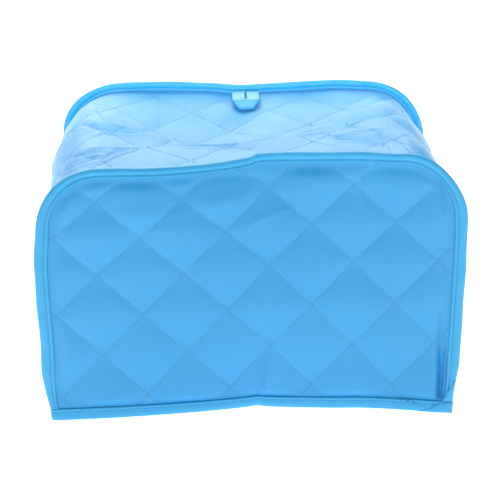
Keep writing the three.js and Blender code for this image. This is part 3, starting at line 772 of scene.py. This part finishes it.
def gusset_point(s, from_front, off):
    """The gusset's middle, at a distance back from its front fold. Off is how far outside it."""
    x, z, out_x, out_z = seam_at(s)
    edge_x = x - GUSSET_INSET * out_x
    edge_z = z - GUSSET_INSET * out_z
    front = front_point(edge_x, edge_z, GUSSET_LAYER)
    back = back_point(edge_x, edge_z, GUSSET_LAYER)
    share = np.asarray(from_front / GUSSET_SPAN)[..., None]
    outwards = np.asarray(off - gusset_drop(s, from_front))[..., None]
    direction = np.stack(np.broadcast_arrays(out_x, 0, out_z), axis=-1)
    return front + (back - front) * share + direction * outwards


def gusset_stations():
    """Lengths along the gusset, closer together over the top than down the sides."""
    top_start = LEG_LENGTH - 8
    side_spacing = 2.6
    top_spacing = 1.42
    leg = np.arange(CLOTH_BOTTOM, top_start, side_spacing)
    over = np.linspace(top_start, SEAM_LENGTH - top_start, round((SEAM_LENGTH - 2 * top_start) / top_spacing))
    return np.concatenate([leg, over, (SEAM_LENGTH - leg)[::-1]])


def gusset_relief(s, from_front):
    """How far the gusset's outer face stands over its middle."""
    a, b = quilt_lines(s, from_front, **GUSSET_QUILT)
    from_seam = np.minimum(from_front, GUSSET_SPAN - from_front) - BESIDE_SEAM
    from_hem = np.minimum(s, SEAM_LENGTH - s) - HEM_HEIGHT
    loose = smooth(-1, 7, from_seam) * smooth(0.5, 7, from_hem)
    return PRESSED_HALF + loose * puffs(a, b, 61, fullness=0.4)


def off_the_cloth(along_t, along_s, outwards):
    """Directions off the cloth, halfway to the seam's own so that no fold turns them over."""
    normal = np.cross(along_t, along_s)
    normal /= np.linalg.norm(normal, axis=-1, keepdims=True)
    facing = np.sign((normal * outwards).sum(-1, keepdims=True))
    blended = normal * facing + outwards
    return blended / np.linalg.norm(blended, axis=-1, keepdims=True)


ACROSS_SPACING = 1.42
FOLD_RADIUS = 1.2
stations = gusset_stations()
across_count = round((GUSSET_SPAN - 2 * FOLD_RADIUS) / ACROSS_SPACING)
across_places = np.linspace(FOLD_RADIUS, GUSSET_SPAN - FOLD_RADIUS, across_count)
grid_s, grid_t = np.meshgrid(stations, across_places)
seam_x, seam_z, seam_out_x, seam_out_z = seam_at(stations)
outwards = np.stack([seam_out_x, np.zeros_like(seam_out_x), seam_out_z], axis=-1)
middle = gusset_point(grid_s, grid_t, 0)
normals = off_the_cloth(np.gradient(middle, axis=0), np.gradient(middle, axis=1), outwards[None])
relief = gusset_relief(grid_s, grid_t)[..., None]
outer_rows = [middle + normals * relief]
inner_rows = [middle - normals * (PRESSED_HALF + 0.5 * (relief - PRESSED_HALF))]
uv_rows = [np.stack([grid_s, grid_t], axis=-1)]

# The edges that stand up inside the seam tapes, from the fold outwards
width = tape_width(seam_z) - INSIDE_TAPE
for panel_point, inwards, at_front in ((front_point, 1, True), (back_point, -1, False)):
    into_cover = np.array([0, inwards, 0])
    for share in (None, 0.0, 0.35, 0.7, 1.0):
        offset = -GUSSET_INSET if share is None else share * width
        edge = panel_point(seam_x + seam_out_x * offset, seam_z + seam_out_z * offset, GUSSET_LAYER)
        direction = into_cover + outwards if share is None else into_cover + 0 * outwards
        outer_row = (edge + direction * PRESSED_HALF)[None]
        inner_row = (edge - direction * PRESSED_HALF)[None]
        beyond = np.broadcast_to(offset, stations.shape) + GUSSET_INSET
        flat_t = -beyond if at_front else GUSSET_SPAN + beyond
        uv_row = np.stack([stations, flat_t], axis=-1)[None]
        if at_front:
            outer_rows.insert(0, outer_row)
            inner_rows.insert(0, inner_row)
            uv_rows.insert(0, uv_row)
        else:
            outer_rows.append(outer_row)
            inner_rows.append(inner_row)
            uv_rows.append(uv_row)
gusset_cloth = cloth_sheet(
    "gusset_quilting",
    np.concatenate(outer_rows),
    np.concatenate(inner_rows),
    np.concatenate(uv_rows),
    GUSSET_QUILT,
    quilted_cloth,
)
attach(gusset_cloth, "root")
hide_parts("gusset")


# Quilting thread
# Lockstitches in polyester thread of the cloth's own blue, about eight to the inch, along every quilting
# line. Each shows as a short length of thread that dips into the cloth at both ends.
STITCH_LENGTH = 1.9
THREAD_RADIUS = 0.28


def thread_finish(name, colour):
    """Twisted thread with a soft shine."""
    finish = Finish(name)
    place = finish.add("TexCoord", output=3)
    twist = finish.add("TexNoise", values={"Vector": place, "Scale": 1800.0, "Detail": 1.0})
    shade = finish.mix(twist, linear(*[0.86 * channel for channel in colour]), linear(*colour))
    shader = finish.add(
        "BsdfPrincipled",
        values={"Base Color": shade, "Roughness": 0.45 + 0.1 * twist, "Sheen Weight": 0.2},
    )
    finish.add("OutputMaterial", values={"Surface": shader})
    return finish


quilting_thread = thread_finish("quilting_thread", (96, 204, 244))


def stitch_tree():
    """Geometry nodes that set a stitch on every pitch of the lines they are given."""
    tree = bpy.data.node_groups.new("stitches", "GeometryNodeTree")
    sockets = {}
    for name, kind in (
        ("Lines", "NodeSocketGeometry"),
        ("Pitch", "NodeSocketFloat"),
        ("Stitch Length", "NodeSocketFloat"),
        ("Thread Radius", "NodeSocketFloat"),
        ("Thread", "NodeSocketMaterial"),
    ):
        sockets[name] = tree.interface.new_socket(name=name, in_out="INPUT", socket_type=kind).identifier
    tree.interface.new_socket(name="Stitches", in_out="OUTPUT", socket_type="NodeSocketGeometry")

    def add(kind, settings=None, **links):
        node = tree.nodes.new(kind)
        for name, setting in (settings or {}).items():
            setattr(node, name, setting)
        for name, value in links.items():
            socket = node.inputs[name.replace("_", " ")]
            if isinstance(value, bpy.types.NodeSocket):
                tree.links.new(value, socket)
            else:
                socket.default_value = value
        return node

    given = add("NodeGroupInput").outputs
    curve = add("GeometryNodeMeshToCurve", Mesh=given["Lines"]).outputs["Curve"]
    places = add("GeometryNodeCurveToPoints", {"mode": "LENGTH"}, Curve=curve, Length=given["Pitch"])
    ball = add("GeometryNodeMeshUVSphere", Segments=6, Rings=5, Radius=1.0).outputs["Mesh"]
    smooth_ball = add("GeometryNodeSetShadeSmooth", Geometry=ball).outputs["Geometry"]
    half_length = add("ShaderNodeMath", {"operation": "MULTIPLY"})
    tree.links.new(given["Stitch Length"], half_length.inputs[0])
    half_length.inputs[1].default_value = 0.5
    size = add(
        "ShaderNodeCombineXYZ",
        X=given["Thread Radius"],
        Y=given["Thread Radius"],
        Z=half_length.outputs[0],
    ).outputs[0]
    stitches = add(
        "GeometryNodeInstanceOnPoints",
        Points=places.outputs["Points"],
        Instance=smooth_ball,
        Rotation=places.outputs["Rotation"],
        Scale=size,
    ).outputs["Instances"]
    real = add("GeometryNodeRealizeInstances", Geometry=stitches).outputs["Geometry"]
    threaded = add("GeometryNodeSetMaterial", Geometry=real, Material=given["Thread"]).outputs["Geometry"]
    end = add("NodeGroupOutput")
    tree.links.new(threaded, end.inputs["Stitches"])
    return tree, sockets


stitch_nodes, stitch_sockets = stitch_tree()


def sew(name, runs, finish, pitch=STITCH_PITCH, length=STITCH_LENGTH, radius=THREAD_RADIUS):
    """Stitches along runs of points in mm, as one plain mesh."""
    points = []
    edges = []
    for run in runs:
        first = len(points)
        points.extend((np.asarray(run) * MM + seam_frame).tolist())
        edges.extend((i, i + 1) for i in range(first, len(points) - 1))
    lines = bpy.data.meshes.new(name + "_lines")
    lines.from_pydata(points, edges, [])
    guide = bpy.data.objects.new(name + "_lines", lines)
    bpy.context.scene.collection.objects.link(guide)
    modifier = guide.modifiers.new("stitches", "NODES")
    modifier.node_group = stitch_nodes
    for socket, value in (
        ("Pitch", pitch * MM),
        ("Stitch Length", length * MM),
        ("Thread Radius", radius * MM),
        ("Thread", finish.material),
    ):
        modifier[stitch_sockets[socket]] = value
    evaluated = guide.evaluated_get(bpy.context.evaluated_depsgraph_get())
    mesh = bpy.data.meshes.new_from_object(evaluated)
    mesh.name = name
    guide.modifiers.remove(modifier)
    bpy.data.objects.remove(guide)
    piece = bpy.data.objects.new(name, mesh)
    bpy.context.scene.collection.objects.link(piece)
    return piece


def line_runs(quilt, keep, place, widest):
    """The parts of every quilting line that lie where keep says, as runs of placed points."""
    runs = []
    numbers = np.arange(-widest, widest + 1)
    steps = np.arange(-widest, widest, 1.0 / LINE_SPACING)
    for first_family in (True, False):
        for number in numbers:
            fixed = np.full_like(steps, number)
            a, b = (fixed, steps) if first_family else (steps, fixed)
            u, v = place_on_cloth(a, b, **quilt)
            kept = keep(u, v)
            starts = np.flatnonzero(kept & ~np.concatenate([[False], kept[:-1]]))
            ends = np.flatnonzero(kept & ~np.concatenate([kept[1:], [False]]))
            for start, end in zip(starts, ends):
                if end - start > 6:
                    runs.append(place(u[start : end + 1], v[start : end + 1]))
    return runs


THREAD_PROUD = 0.1  # of the cloth's face, so that a stitch is half sunk into it


def panel_thread(name, point, quilt, cockle, seed):
    """The quilting stitches of a panel."""

    def keep(x, z):
        return (within_seam(x, z) > 1.5) & (z > HEM_HEIGHT + 2)

    def place(x, z):
        return point(x, z, cockle(x, z) + panel_relief(x, z, quilt, seed) + THREAD_PROUD)

    return sew(name, line_runs(quilt, keep, place, 8), quilting_thread)


def gusset_keep(s, from_front):
    """Where the gusset's quilting lines are sewn."""
    from_hem = np.minimum(s, SEAM_LENGTH - s)
    from_seam = np.minimum(from_front, GUSSET_SPAN - from_front)
    return (from_seam > BESIDE_SEAM) & (from_hem > HEM_HEIGHT + 2)


def gusset_face(s, from_front):
    """Points on the gusset's outer face, for the thread."""
    reach = 1.0
    here = gusset_point(s, from_front, 0)
    ds = gusset_point(s + reach, from_front, 0) - gusset_point(s - reach, from_front, 0)
    dt = gusset_point(s, from_front + reach, 0) - gusset_point(s, from_front - reach, 0)
    _, _, out_x, out_z = seam_at(s)
    seam_out = np.stack([out_x, np.zeros_like(out_x), out_z], axis=-1)
    return here + off_the_cloth(dt, ds, seam_out) * (gusset_relief(s, from_front) + THREAD_PROUD)[..., None]


front_thread = panel_thread("front_quilting_thread", front_point, FRONT_QUILT, front_cockle, 21)
back_thread = panel_thread("back_quilting_thread", back_point, BACK_QUILT, back_cockle, 41)
gusset_thread = sew(
    "gusset_quilting_thread",
    line_runs(GUSSET_QUILT, gusset_keep, gusset_face, 12),
    quilting_thread,
)
for thread in (front_thread, back_thread, gusset_thread):
    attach(thread, "root")


# Seam tapes
# Woven polyester tape folded lengthways over the raw edges of the front seam and of the back seam and
# sewn down once, a little in from its inner edge, so that the edge stands up as a fine ridge.
TAPE_BLUE_DEEP = (14, 168, 232)
TAPE_BLUE_PALE = (28, 184, 241)
tape_cloth = cloth_finish("binding_tape", TAPE_BLUE_DEEP, TAPE_BLUE_PALE, 0.7, 0.6)
TAPE_STITCH_LINE = 2.6
TAPE_STITCH_PITCH = 2.9
TAPE_STITCH_LENGTH = 2.0
TAPE_THREAD_RADIUS = 0.22

# One face of the folded tape, as the share of its width from the inner edge and the height over the
# lip that lies on the cloth
TAPE_FACE = [
    (0.0, 0.0), (0.0, 0.42), (0.03, 0.8), (0.08, 0.98), (0.14, 0.92), (0.2, 0.68), (0.26, 0.44),
    (0.31, 0.42), (0.37, 0.6), (0.47, 0.86), (0.6, 0.95), (0.72, 0.88), (0.83, 0.62), (0.92, 0.1),
    (0.975, -0.65),
]
SEAM_LIP_FRONT = 0.9
SEAM_LIP_BACK = -2.4
SEAM_MIDDLE = (SEAM_LIP_FRONT + SEAM_LIP_BACK) / 2


def tape_section(width):
    """Corners of the folded tape as offset from the seam line and height over the panel, for widths."""
    corners = []
    for share, height in TAPE_FACE:
        corners.append((share * width, SEAM_LIP_FRONT + height + 0 * width))
    corners.append((width, SEAM_MIDDLE + 0 * width))
    for share, height in reversed(TAPE_FACE):
        corners.append((share * width, SEAM_LIP_BACK - height + 0 * width))
    for inset, height in ((1.5, SEAM_LIP_BACK), (0.95, -1.9), (0.95, 0.4), (1.5, SEAM_LIP_FRONT)):
        corners.append((width - inset, height + 0 * width))
    return corners


def sweep(name, rings, uvs, finish, closed=False):
    """A section swept through stations: rings is stations by corners by three."""
    count, corners = rings.shape[:2]
    station = np.arange(count if closed else count - 1)
    corner = np.arange(corners)
    here = station[:, None] * corners + corner[None, :]
    beside = station[:, None] * corners + (corner[None, :] + 1) % corners
    following = ((station[:, None] + 1) % count) * corners
    faces = np.stack([here, beside, following + (corner + 1) % corners, following + corner], axis=-1)
    faces = faces.reshape(-1, 4).tolist()
    if not closed:
        faces.append(list(range(corners))[::-1])
        faces.append([(count - 1) * corners + c for c in range(corners)])
    return add_piece(name, rings.reshape(-1, 3), faces, uvs.reshape(-1, 2), finish)


TAPE_PUCKER = 0.9
TAPE_RIPPLE = 0.1


def seam_tape(name, point, seed, pucker_at):
    """The tape of one seam, with the ripples that its stitches pull, an uneven fold and one pucker."""
    foot = HEM_HEIGHT + 0.3
    s = np.arange(foot, SEAM_LENGTH - foot, 1.0)
    x, z, out_x, out_z = seam_at(s)
    width = tape_width(z) + 0.3 * unevenness(s, 0 * s, 38, seed) * smooth(15, 45, z)
    rings = []
    uvs = []
    girth = 0.0
    last = None
    from_pucker = s - pucker_at
    pucker = np.exp(-(((from_pucker - 2.2) / 1.7) ** 2)) - np.exp(-((from_pucker / 1.2) ** 2))
    lift = 0.22 * unevenness(s, 0 * s + 9, 26, seed + 1) + TAPE_PUCKER * pucker
    for k, (offset, height) in enumerate(tape_section(width)):
        if 0 < k < 2 * len(TAPE_FACE):
            beside_line = np.exp(-(((offset - TAPE_STITCH_LINE) / 1.6) ** 2))
            ripple = np.cos(2 * math.pi * s / TAPE_STITCH_PITCH) * TAPE_RIPPLE * beside_line
            puff = np.exp(-(((offset - 0.62 * width) / (0.25 * width)) ** 2))
            side = np.sign(height - SEAM_MIDDLE)
            height = height + side * (ripple + lift * puff)
        if last is not None:
            girth += float(np.mean(np.hypot(offset - last[0], height - last[1])))
        last = (offset, height)
        rings.append(point(x + out_x * offset, z + out_z * offset, height))
        uvs.append(np.stack([s, np.full_like(s, girth)], axis=-1))
    return sweep(name, np.stack(rings, axis=1), np.stack(uvs, axis=1), tape_cloth)


front_tape = seam_tape("front_seam_tape", front_point, 71, SEAM_LENGTH / 2 + 1)
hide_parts("front_binding")
back_tape = seam_tape("back_seam_tape", back_point, 81, SEAM_LENGTH / 2 + 95)
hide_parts("back_binding")
for tape in (front_tape, back_tape):
    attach(tape, "root")

# Sewn once through all layers, so the stitches show on both faces of each tape
tape_thread = thread_finish("tape_thread", (40, 140, 200))
seam_s = np.arange(HEM_HEIGHT + 2, SEAM_LENGTH - HEM_HEIGHT - 2, 1.0)
line_x, line_z, line_out_x, line_out_z = seam_at(seam_s)
line_offset = TAPE_STITCH_LINE * tape_width(line_z) / TAPE_WIDTH
line_x = line_x + line_out_x * line_offset
line_z = line_z + line_out_z * line_offset
SEAM_STITCH_HEIGHTS = (SEAM_LIP_FRONT + 0.5, SEAM_LIP_BACK - 0.5)
for name, point in (("front_seam_thread", front_point), ("back_seam_thread", back_point)):
    seam_runs = [point(line_x, line_z, height) for height in SEAM_STITCH_HEIGHTS]
    seam_thread = sew(
        name, seam_runs, tape_thread, TAPE_STITCH_PITCH, TAPE_STITCH_LENGTH, TAPE_THREAD_RADIUS
    )
    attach(seam_thread, "root")


# Hem tape
# The same tape folded round the bottom edge of the panels and the gusset, all the way round. It closes
# over the feet of the seam tapes at the four corners, and the cover stands on its fold.
GUSSET_CORNER = SEAM_HALF_WIDTH - GUSSET_INSET
HEM_OUTER = 1.7  # the tape's two faces, from the cloth's middle
HEM_INNER = 0.9
HEM_LAYERS = [-HEM_OUTER, -HEM_INNER, HEM_INNER, HEM_OUTER]
# Where each layer turns the corner: x, and how far behind the panel
HEM_EDGE_X = SEAM_HALF_WIDTH + TAPE_WIDTH_AT_HEM
HEM_CORNER_X = [
    GUSSET_CORNER - HEM_OUTER,
    GUSSET_CORNER - HEM_INNER,
    HEM_EDGE_X - (HEM_OUTER - HEM_INNER),
    HEM_EDGE_X,
]
HEM_BEHIND_EDGE = [-3.5, -2.7, -2.4, -3.2]
HEM_SPACING = 1.2

# Corners of the folded tape as its layer (out from the cloth's middle) and the height, outer face first
HEM_SECTION = [
    (0.9, 10.0), (1.35, 10.0), (1.68, 9.7), (1.82, 9.1), (1.7, 8.4), (1.42, 7.7), (1.38, 7.1),
    (1.6, 6.3), (1.85, 5.0), (1.86, 3.6), (1.7, 2.2), (1.35, 1.0), (0.85, 0.3), (0.3, 0.0), (-0.3, 0.0),
    (-0.85, 0.3), (-1.35, 1.0), (-1.65, 2.2), (-1.7, 5.0), (-1.4, 7.3), (-1.7, 8.9), (-1.5, 10.0),
    (-0.9, 10.0), (-0.9, 1.4), (-0.5, 0.8), (0.5, 0.8), (0.9, 1.4),
]
section_layer = np.array([layer for layer, _ in HEM_SECTION])
section_z = np.array([z for _, z in HEM_SECTION])
section_corner_x = np.interp(section_layer, HEM_LAYERS, HEM_CORNER_X)
section_behind = np.interp(section_layer, HEM_LAYERS, HEM_BEHIND_EDGE)


def hem_panel_rings(point):
    """Stations across a panel's hem from left to right."""
    count = round(2 * GUSSET_CORNER / HEM_SPACING)
    x = np.linspace(-GUSSET_CORNER, GUSSET_CORNER, count)[:, None]
    limit = section_corner_x[None] - 1
    return point(np.clip(x, -limit, limit), section_z[None] + 0 * x, section_layer[None] + 0 * x)


def hem_corner_rings(point, side):
    """The two stations round the end of a seam tape."""
    ends = [point(side * section_corner_x, section_z, section_layer)]
    ends.append(point(side * section_corner_x, section_z, section_behind))
    return np.stack(ends)


def hem_side_rings(side):
    """Stations along the gusset's hem from front to back."""
    count = round((GUSSET_SPAN - 2 * BESIDE_SEAM) / HEM_SPACING)
    from_front = np.linspace(BESIDE_SEAM, GUSSET_SPAN - BESIDE_SEAM, count)[:, None]
    s = section_z if side < 0 else SEAM_LENGTH - section_z
    s, from_front, layer = np.broadcast_arrays(s[None], from_front, section_layer[None])
    return gusset_point(s, from_front, layer)


def filled_in(rings):
    """A closed run of stations with more of them wherever two lie far apart, and its corners eased."""
    filled = []
    for ring, following in zip(rings, np.roll(rings, -1, axis=0)):
        parts = max(1, math.ceil(np.linalg.norm(following - ring, axis=-1).max() / HEM_SPACING))
        for part in range(parts):
            filled.append(ring + (following - ring) * part / parts)
    eased = np.stack(filled)
    for _ in range(3):
        eased = (np.roll(eased, 1, axis=0) + 2 * eased + np.roll(eased, -1, axis=0)) / 4
    return eased


hem_rings = filled_in(
    np.concatenate(
        [
            hem_panel_rings(front_point),
            hem_corner_rings(front_point, 1),
            hem_side_rings(1),
            hem_corner_rings(back_point, 1)[::-1],
            hem_panel_rings(back_point)[::-1],
            hem_corner_rings(back_point, -1),
            hem_side_rings(-1)[::-1],
            hem_corner_rings(front_point, -1)[::-1],
        ]
    )
)
ring_steps = np.linalg.norm(np.roll(hem_rings, -1, axis=0) - hem_rings, axis=-1).mean(axis=1)
hem_length = np.concatenate([[0], np.cumsum(ring_steps)[:-1]])
OUTER_CORNER = 9  # a row of the section on its outer face
hem_out = hem_rings[:, OUTER_CORNER] - hem_rings.mean(axis=1)
hem_out[:, 2] = 0
hem_out /= np.linalg.norm(hem_out, axis=-1, keepdims=True)
outer_face = np.exp(-(((section_z - 7.3) / 1.8) ** 2)) * (section_layer > 1) * TAPE_RIPPLE
ripple = np.cos(2 * math.pi * hem_length / TAPE_STITCH_PITCH)[:, None] * outer_face[None]
swell = unevenness(hem_length, 0 * hem_length, 34, 91)[:, None] * 0.25
swell = swell * (np.exp(-(((section_z - 4.2) / 2) ** 2)) * (section_layer > 1))[None]
hem_rings = hem_rings + (ripple + swell)[..., None] * hem_out[:, None, :]
section_girth = np.concatenate([[0], np.cumsum(np.hypot(np.diff(section_layer), np.diff(section_z)))])
hem_uvs = np.stack(np.broadcast_arrays(hem_length[:, None], section_girth[None] + 30), axis=-1)
hem_tape = sweep("hem_tape", hem_rings, hem_uvs, tape_cloth, closed=True)
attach(hem_tape, "root")
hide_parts("hem_binding")

STITCH_CORNER = 5  # the row of the section in the stitched groove
hem_run = hem_rings[:, STITCH_CORNER] + hem_out * 0.05 - np.array([0, 0, 0.2])
hem_run = np.concatenate([hem_run, hem_run[:1]])
hem_thread = sew(
    "hem_thread", [hem_run], tape_thread, TAPE_STITCH_PITCH, TAPE_STITCH_LENGTH, TAPE_THREAD_RADIUS
)
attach(hem_thread, "root")


# Front right corner
# Where the front seam tape ends, its foot is turned under in a small triangle. The hem tape's ends
# overlap there on a slant, and the last stitches stand loose.
CORNER_STEPS = 9


def corner_patch(name, corners, low, high):
    """A small four-cornered piece of tape on the front. Corners are x and z, left to right, foot first."""
    along_x = np.linspace(0, 1, CORNER_STEPS)[None, :, None]
    along_z = np.linspace(0, 1, CORNER_STEPS)[:, None, None]
    foot_left, foot_right, top_left, top_right = np.asarray(corners, float)
    foot = foot_left + (foot_right - foot_left) * along_x
    top = top_left + (top_right - top_left) * along_x
    place = foot + (top - foot) * along_z
    full = np.sin(math.pi * along_x[..., 0]) ** 0.4 * np.sin(math.pi * along_z[..., 0]) ** 0.4
    x, z = place[..., 0], place[..., 1]
    outer = front_point(x, z, low + (high - low) * (0.35 + 0.65 * full))
    inner = front_point(x, z, low + 0 * x)
    return cloth_sheet(name, outer, inner, place, None, tape_cloth)


turned_foot = corner_patch(
    "seam_tape_foot", [(134.0, 10.2), (141.4, 10.0), (140.8, 26.5), (142.4, 27.5)], 1.2, 2.7
)
hem_end = corner_patch("hem_tape_end", [(118.5, 0.9), (141.6, 0.6), (133.0, 9.3), (141.8, 9.9)], 1.3, 2.6)
LOOSE_FROM = 101
LOOSE_TO = 115
LOOSE_HEIGHT = 11.0
LOOSE_WAVE = 1.3
loose_x = np.linspace(LOOSE_FROM, LOOSE_TO, 60)
loosened = smooth(LOOSE_FROM, (LOOSE_FROM + LOOSE_TO) / 2, loose_x)
from_start = loose_x - LOOSE_FROM
loose_z = LOOSE_HEIGHT - 0.16 * from_start + LOOSE_WAVE * np.sin(from_start * 1.3) * loosened
loose_thread = sew(
    "loose_hem_stitches",
    [front_point(loose_x, loose_z, 2.2 + 0 * loose_x)],
    tape_thread,
    pitch=1.4,
    length=1.8,
    radius=0.24,
)
for piece in (turned_foot, hem_end, loose_thread):
    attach(piece, "root")


# Hanging loop
# A length of the seam tape, folded flat and turned back on itself, with its fold pressed across into a
# blunt point. Both ends are caught in the middle of the back seam, and it lies forward over the top.
LOOP_TAPE_WIDTH = 10.4
LOOP_SLIT = 1.2
LOOP_LEG = 24
LOOP_TIP = 11
LOOP_TIP_WIDTH = 10.5
LOOP_TIP_DROOP_DEGREES = 20
RUN_THICKNESS = 1.4
RUN_ARCH = 0.5
RUN_STEPS = 12
TIP_THICKNESS = 1.9
TIP_OVERLAP = 0.6  # the tip starts this far back over the runs
TIP_SQUARE = 0.8  # and is as wide as both for this far
TIP_BLUNT = 1.2  # its edge is rounded over this length
TIP_LIFT = 0.25
TIP_STEPS = 14
LOOP_HEIGHT = SEAM_TOP + 0.8
loop_root = float(back_point(np.array(LOOP_X), np.array(LOOP_HEIGHT), np.array(-3.2))[1]) - 0.3


def flat_tape_ring(centre_x, y, z, width, thickness, tilt):
    """A section of flat folded tape across x, tilted about its width."""
    half = width / 2
    edge = thickness / 2
    outline = []
    for side, turn in ((1, 0), (-1, math.pi)):
        for step in range(5):
            angle = -math.pi / 2 + math.pi * step / 4 + turn
            outline.append((side * (half - edge) + edge * math.cos(angle), edge * math.sin(angle)))
        for share in (0.5, 0.0, -0.5):
            dip = 0.12 if abs(share) == 0.5 else 0.0
            outline.append((side * share * (half - edge), side * (edge - dip)))
    ring = []
    for across, up in outline:
        ring.append((centre_x + across, y - up * math.sin(tilt), z + up * math.cos(tilt)))
    return ring


def loop_part(name, centre_x, path):
    """Flat tape along a path of (y forward of the root, z, width, thickness, tilt in radians)."""
    rings = []
    for y, z, width, thickness, tilt in path:
        rings.append(flat_tape_ring(centre_x, loop_root - y, LOOP_HEIGHT + z, width, thickness, tilt))
    rings = np.array(rings)
    lengths = np.array([row[0] for row in path])
    corner = rings[0, :, 0]
    uvs = np.stack(np.broadcast_arrays(corner[None] + 60, lengths[:, None]), axis=-1)
    return sweep(name, rings, uvs, tape_cloth)


droop = math.radians(LOOP_TIP_DROOP_DEGREES)
loop_pieces = []
for side, name in ((-1, "loop_left_run"), (1, "loop_right_run")):
    centre_x = LOOP_X + side * (LOOP_TAPE_WIDTH + LOOP_SLIT / 2) / 2
    run = []
    for step in range(RUN_STEPS + 1):
        turn = math.pi * step / RUN_STEPS
        place = (LOOP_LEG * step / RUN_STEPS, RUN_ARCH * math.sin(turn))
        run.append((*place, LOOP_TAPE_WIDTH - LOOP_SLIT / 2, RUN_THICKNESS, -0.1 * math.cos(turn)))
    loop_pieces.append(loop_part(name, centre_x, run))
tip = []
for step in range(TIP_STEPS + 1):
    along_tip = -TIP_OVERLAP + (LOOP_TIP + TIP_OVERLAP) * step / TIP_STEPS
    bend = droop * smooth(-TIP_OVERLAP, 3, along_tip)
    narrowed = min(1, max(0, along_tip - TIP_SQUARE) / (LOOP_TIP - TIP_SQUARE))
    end = max(0.0, (along_tip - LOOP_TIP + TIP_BLUNT) / TIP_BLUNT)
    tip.append(
        (
            LOOP_LEG + along_tip * math.cos(droop),
            TIP_LIFT - max(0.0, along_tip) * math.sin(droop),
            2 * LOOP_TAPE_WIDTH + (LOOP_TIP_WIDTH - 2 * LOOP_TAPE_WIDTH) * narrowed,
            TIP_THICKNESS * math.sqrt(max(0.05, 1 - end**2)),
            -bend,
        )
    )
loop_pieces.append(loop_part("loop_tip", LOOP_X, tip))
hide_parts("hanging_loop")
for piece in loop_pieces:
    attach(piece, "root")
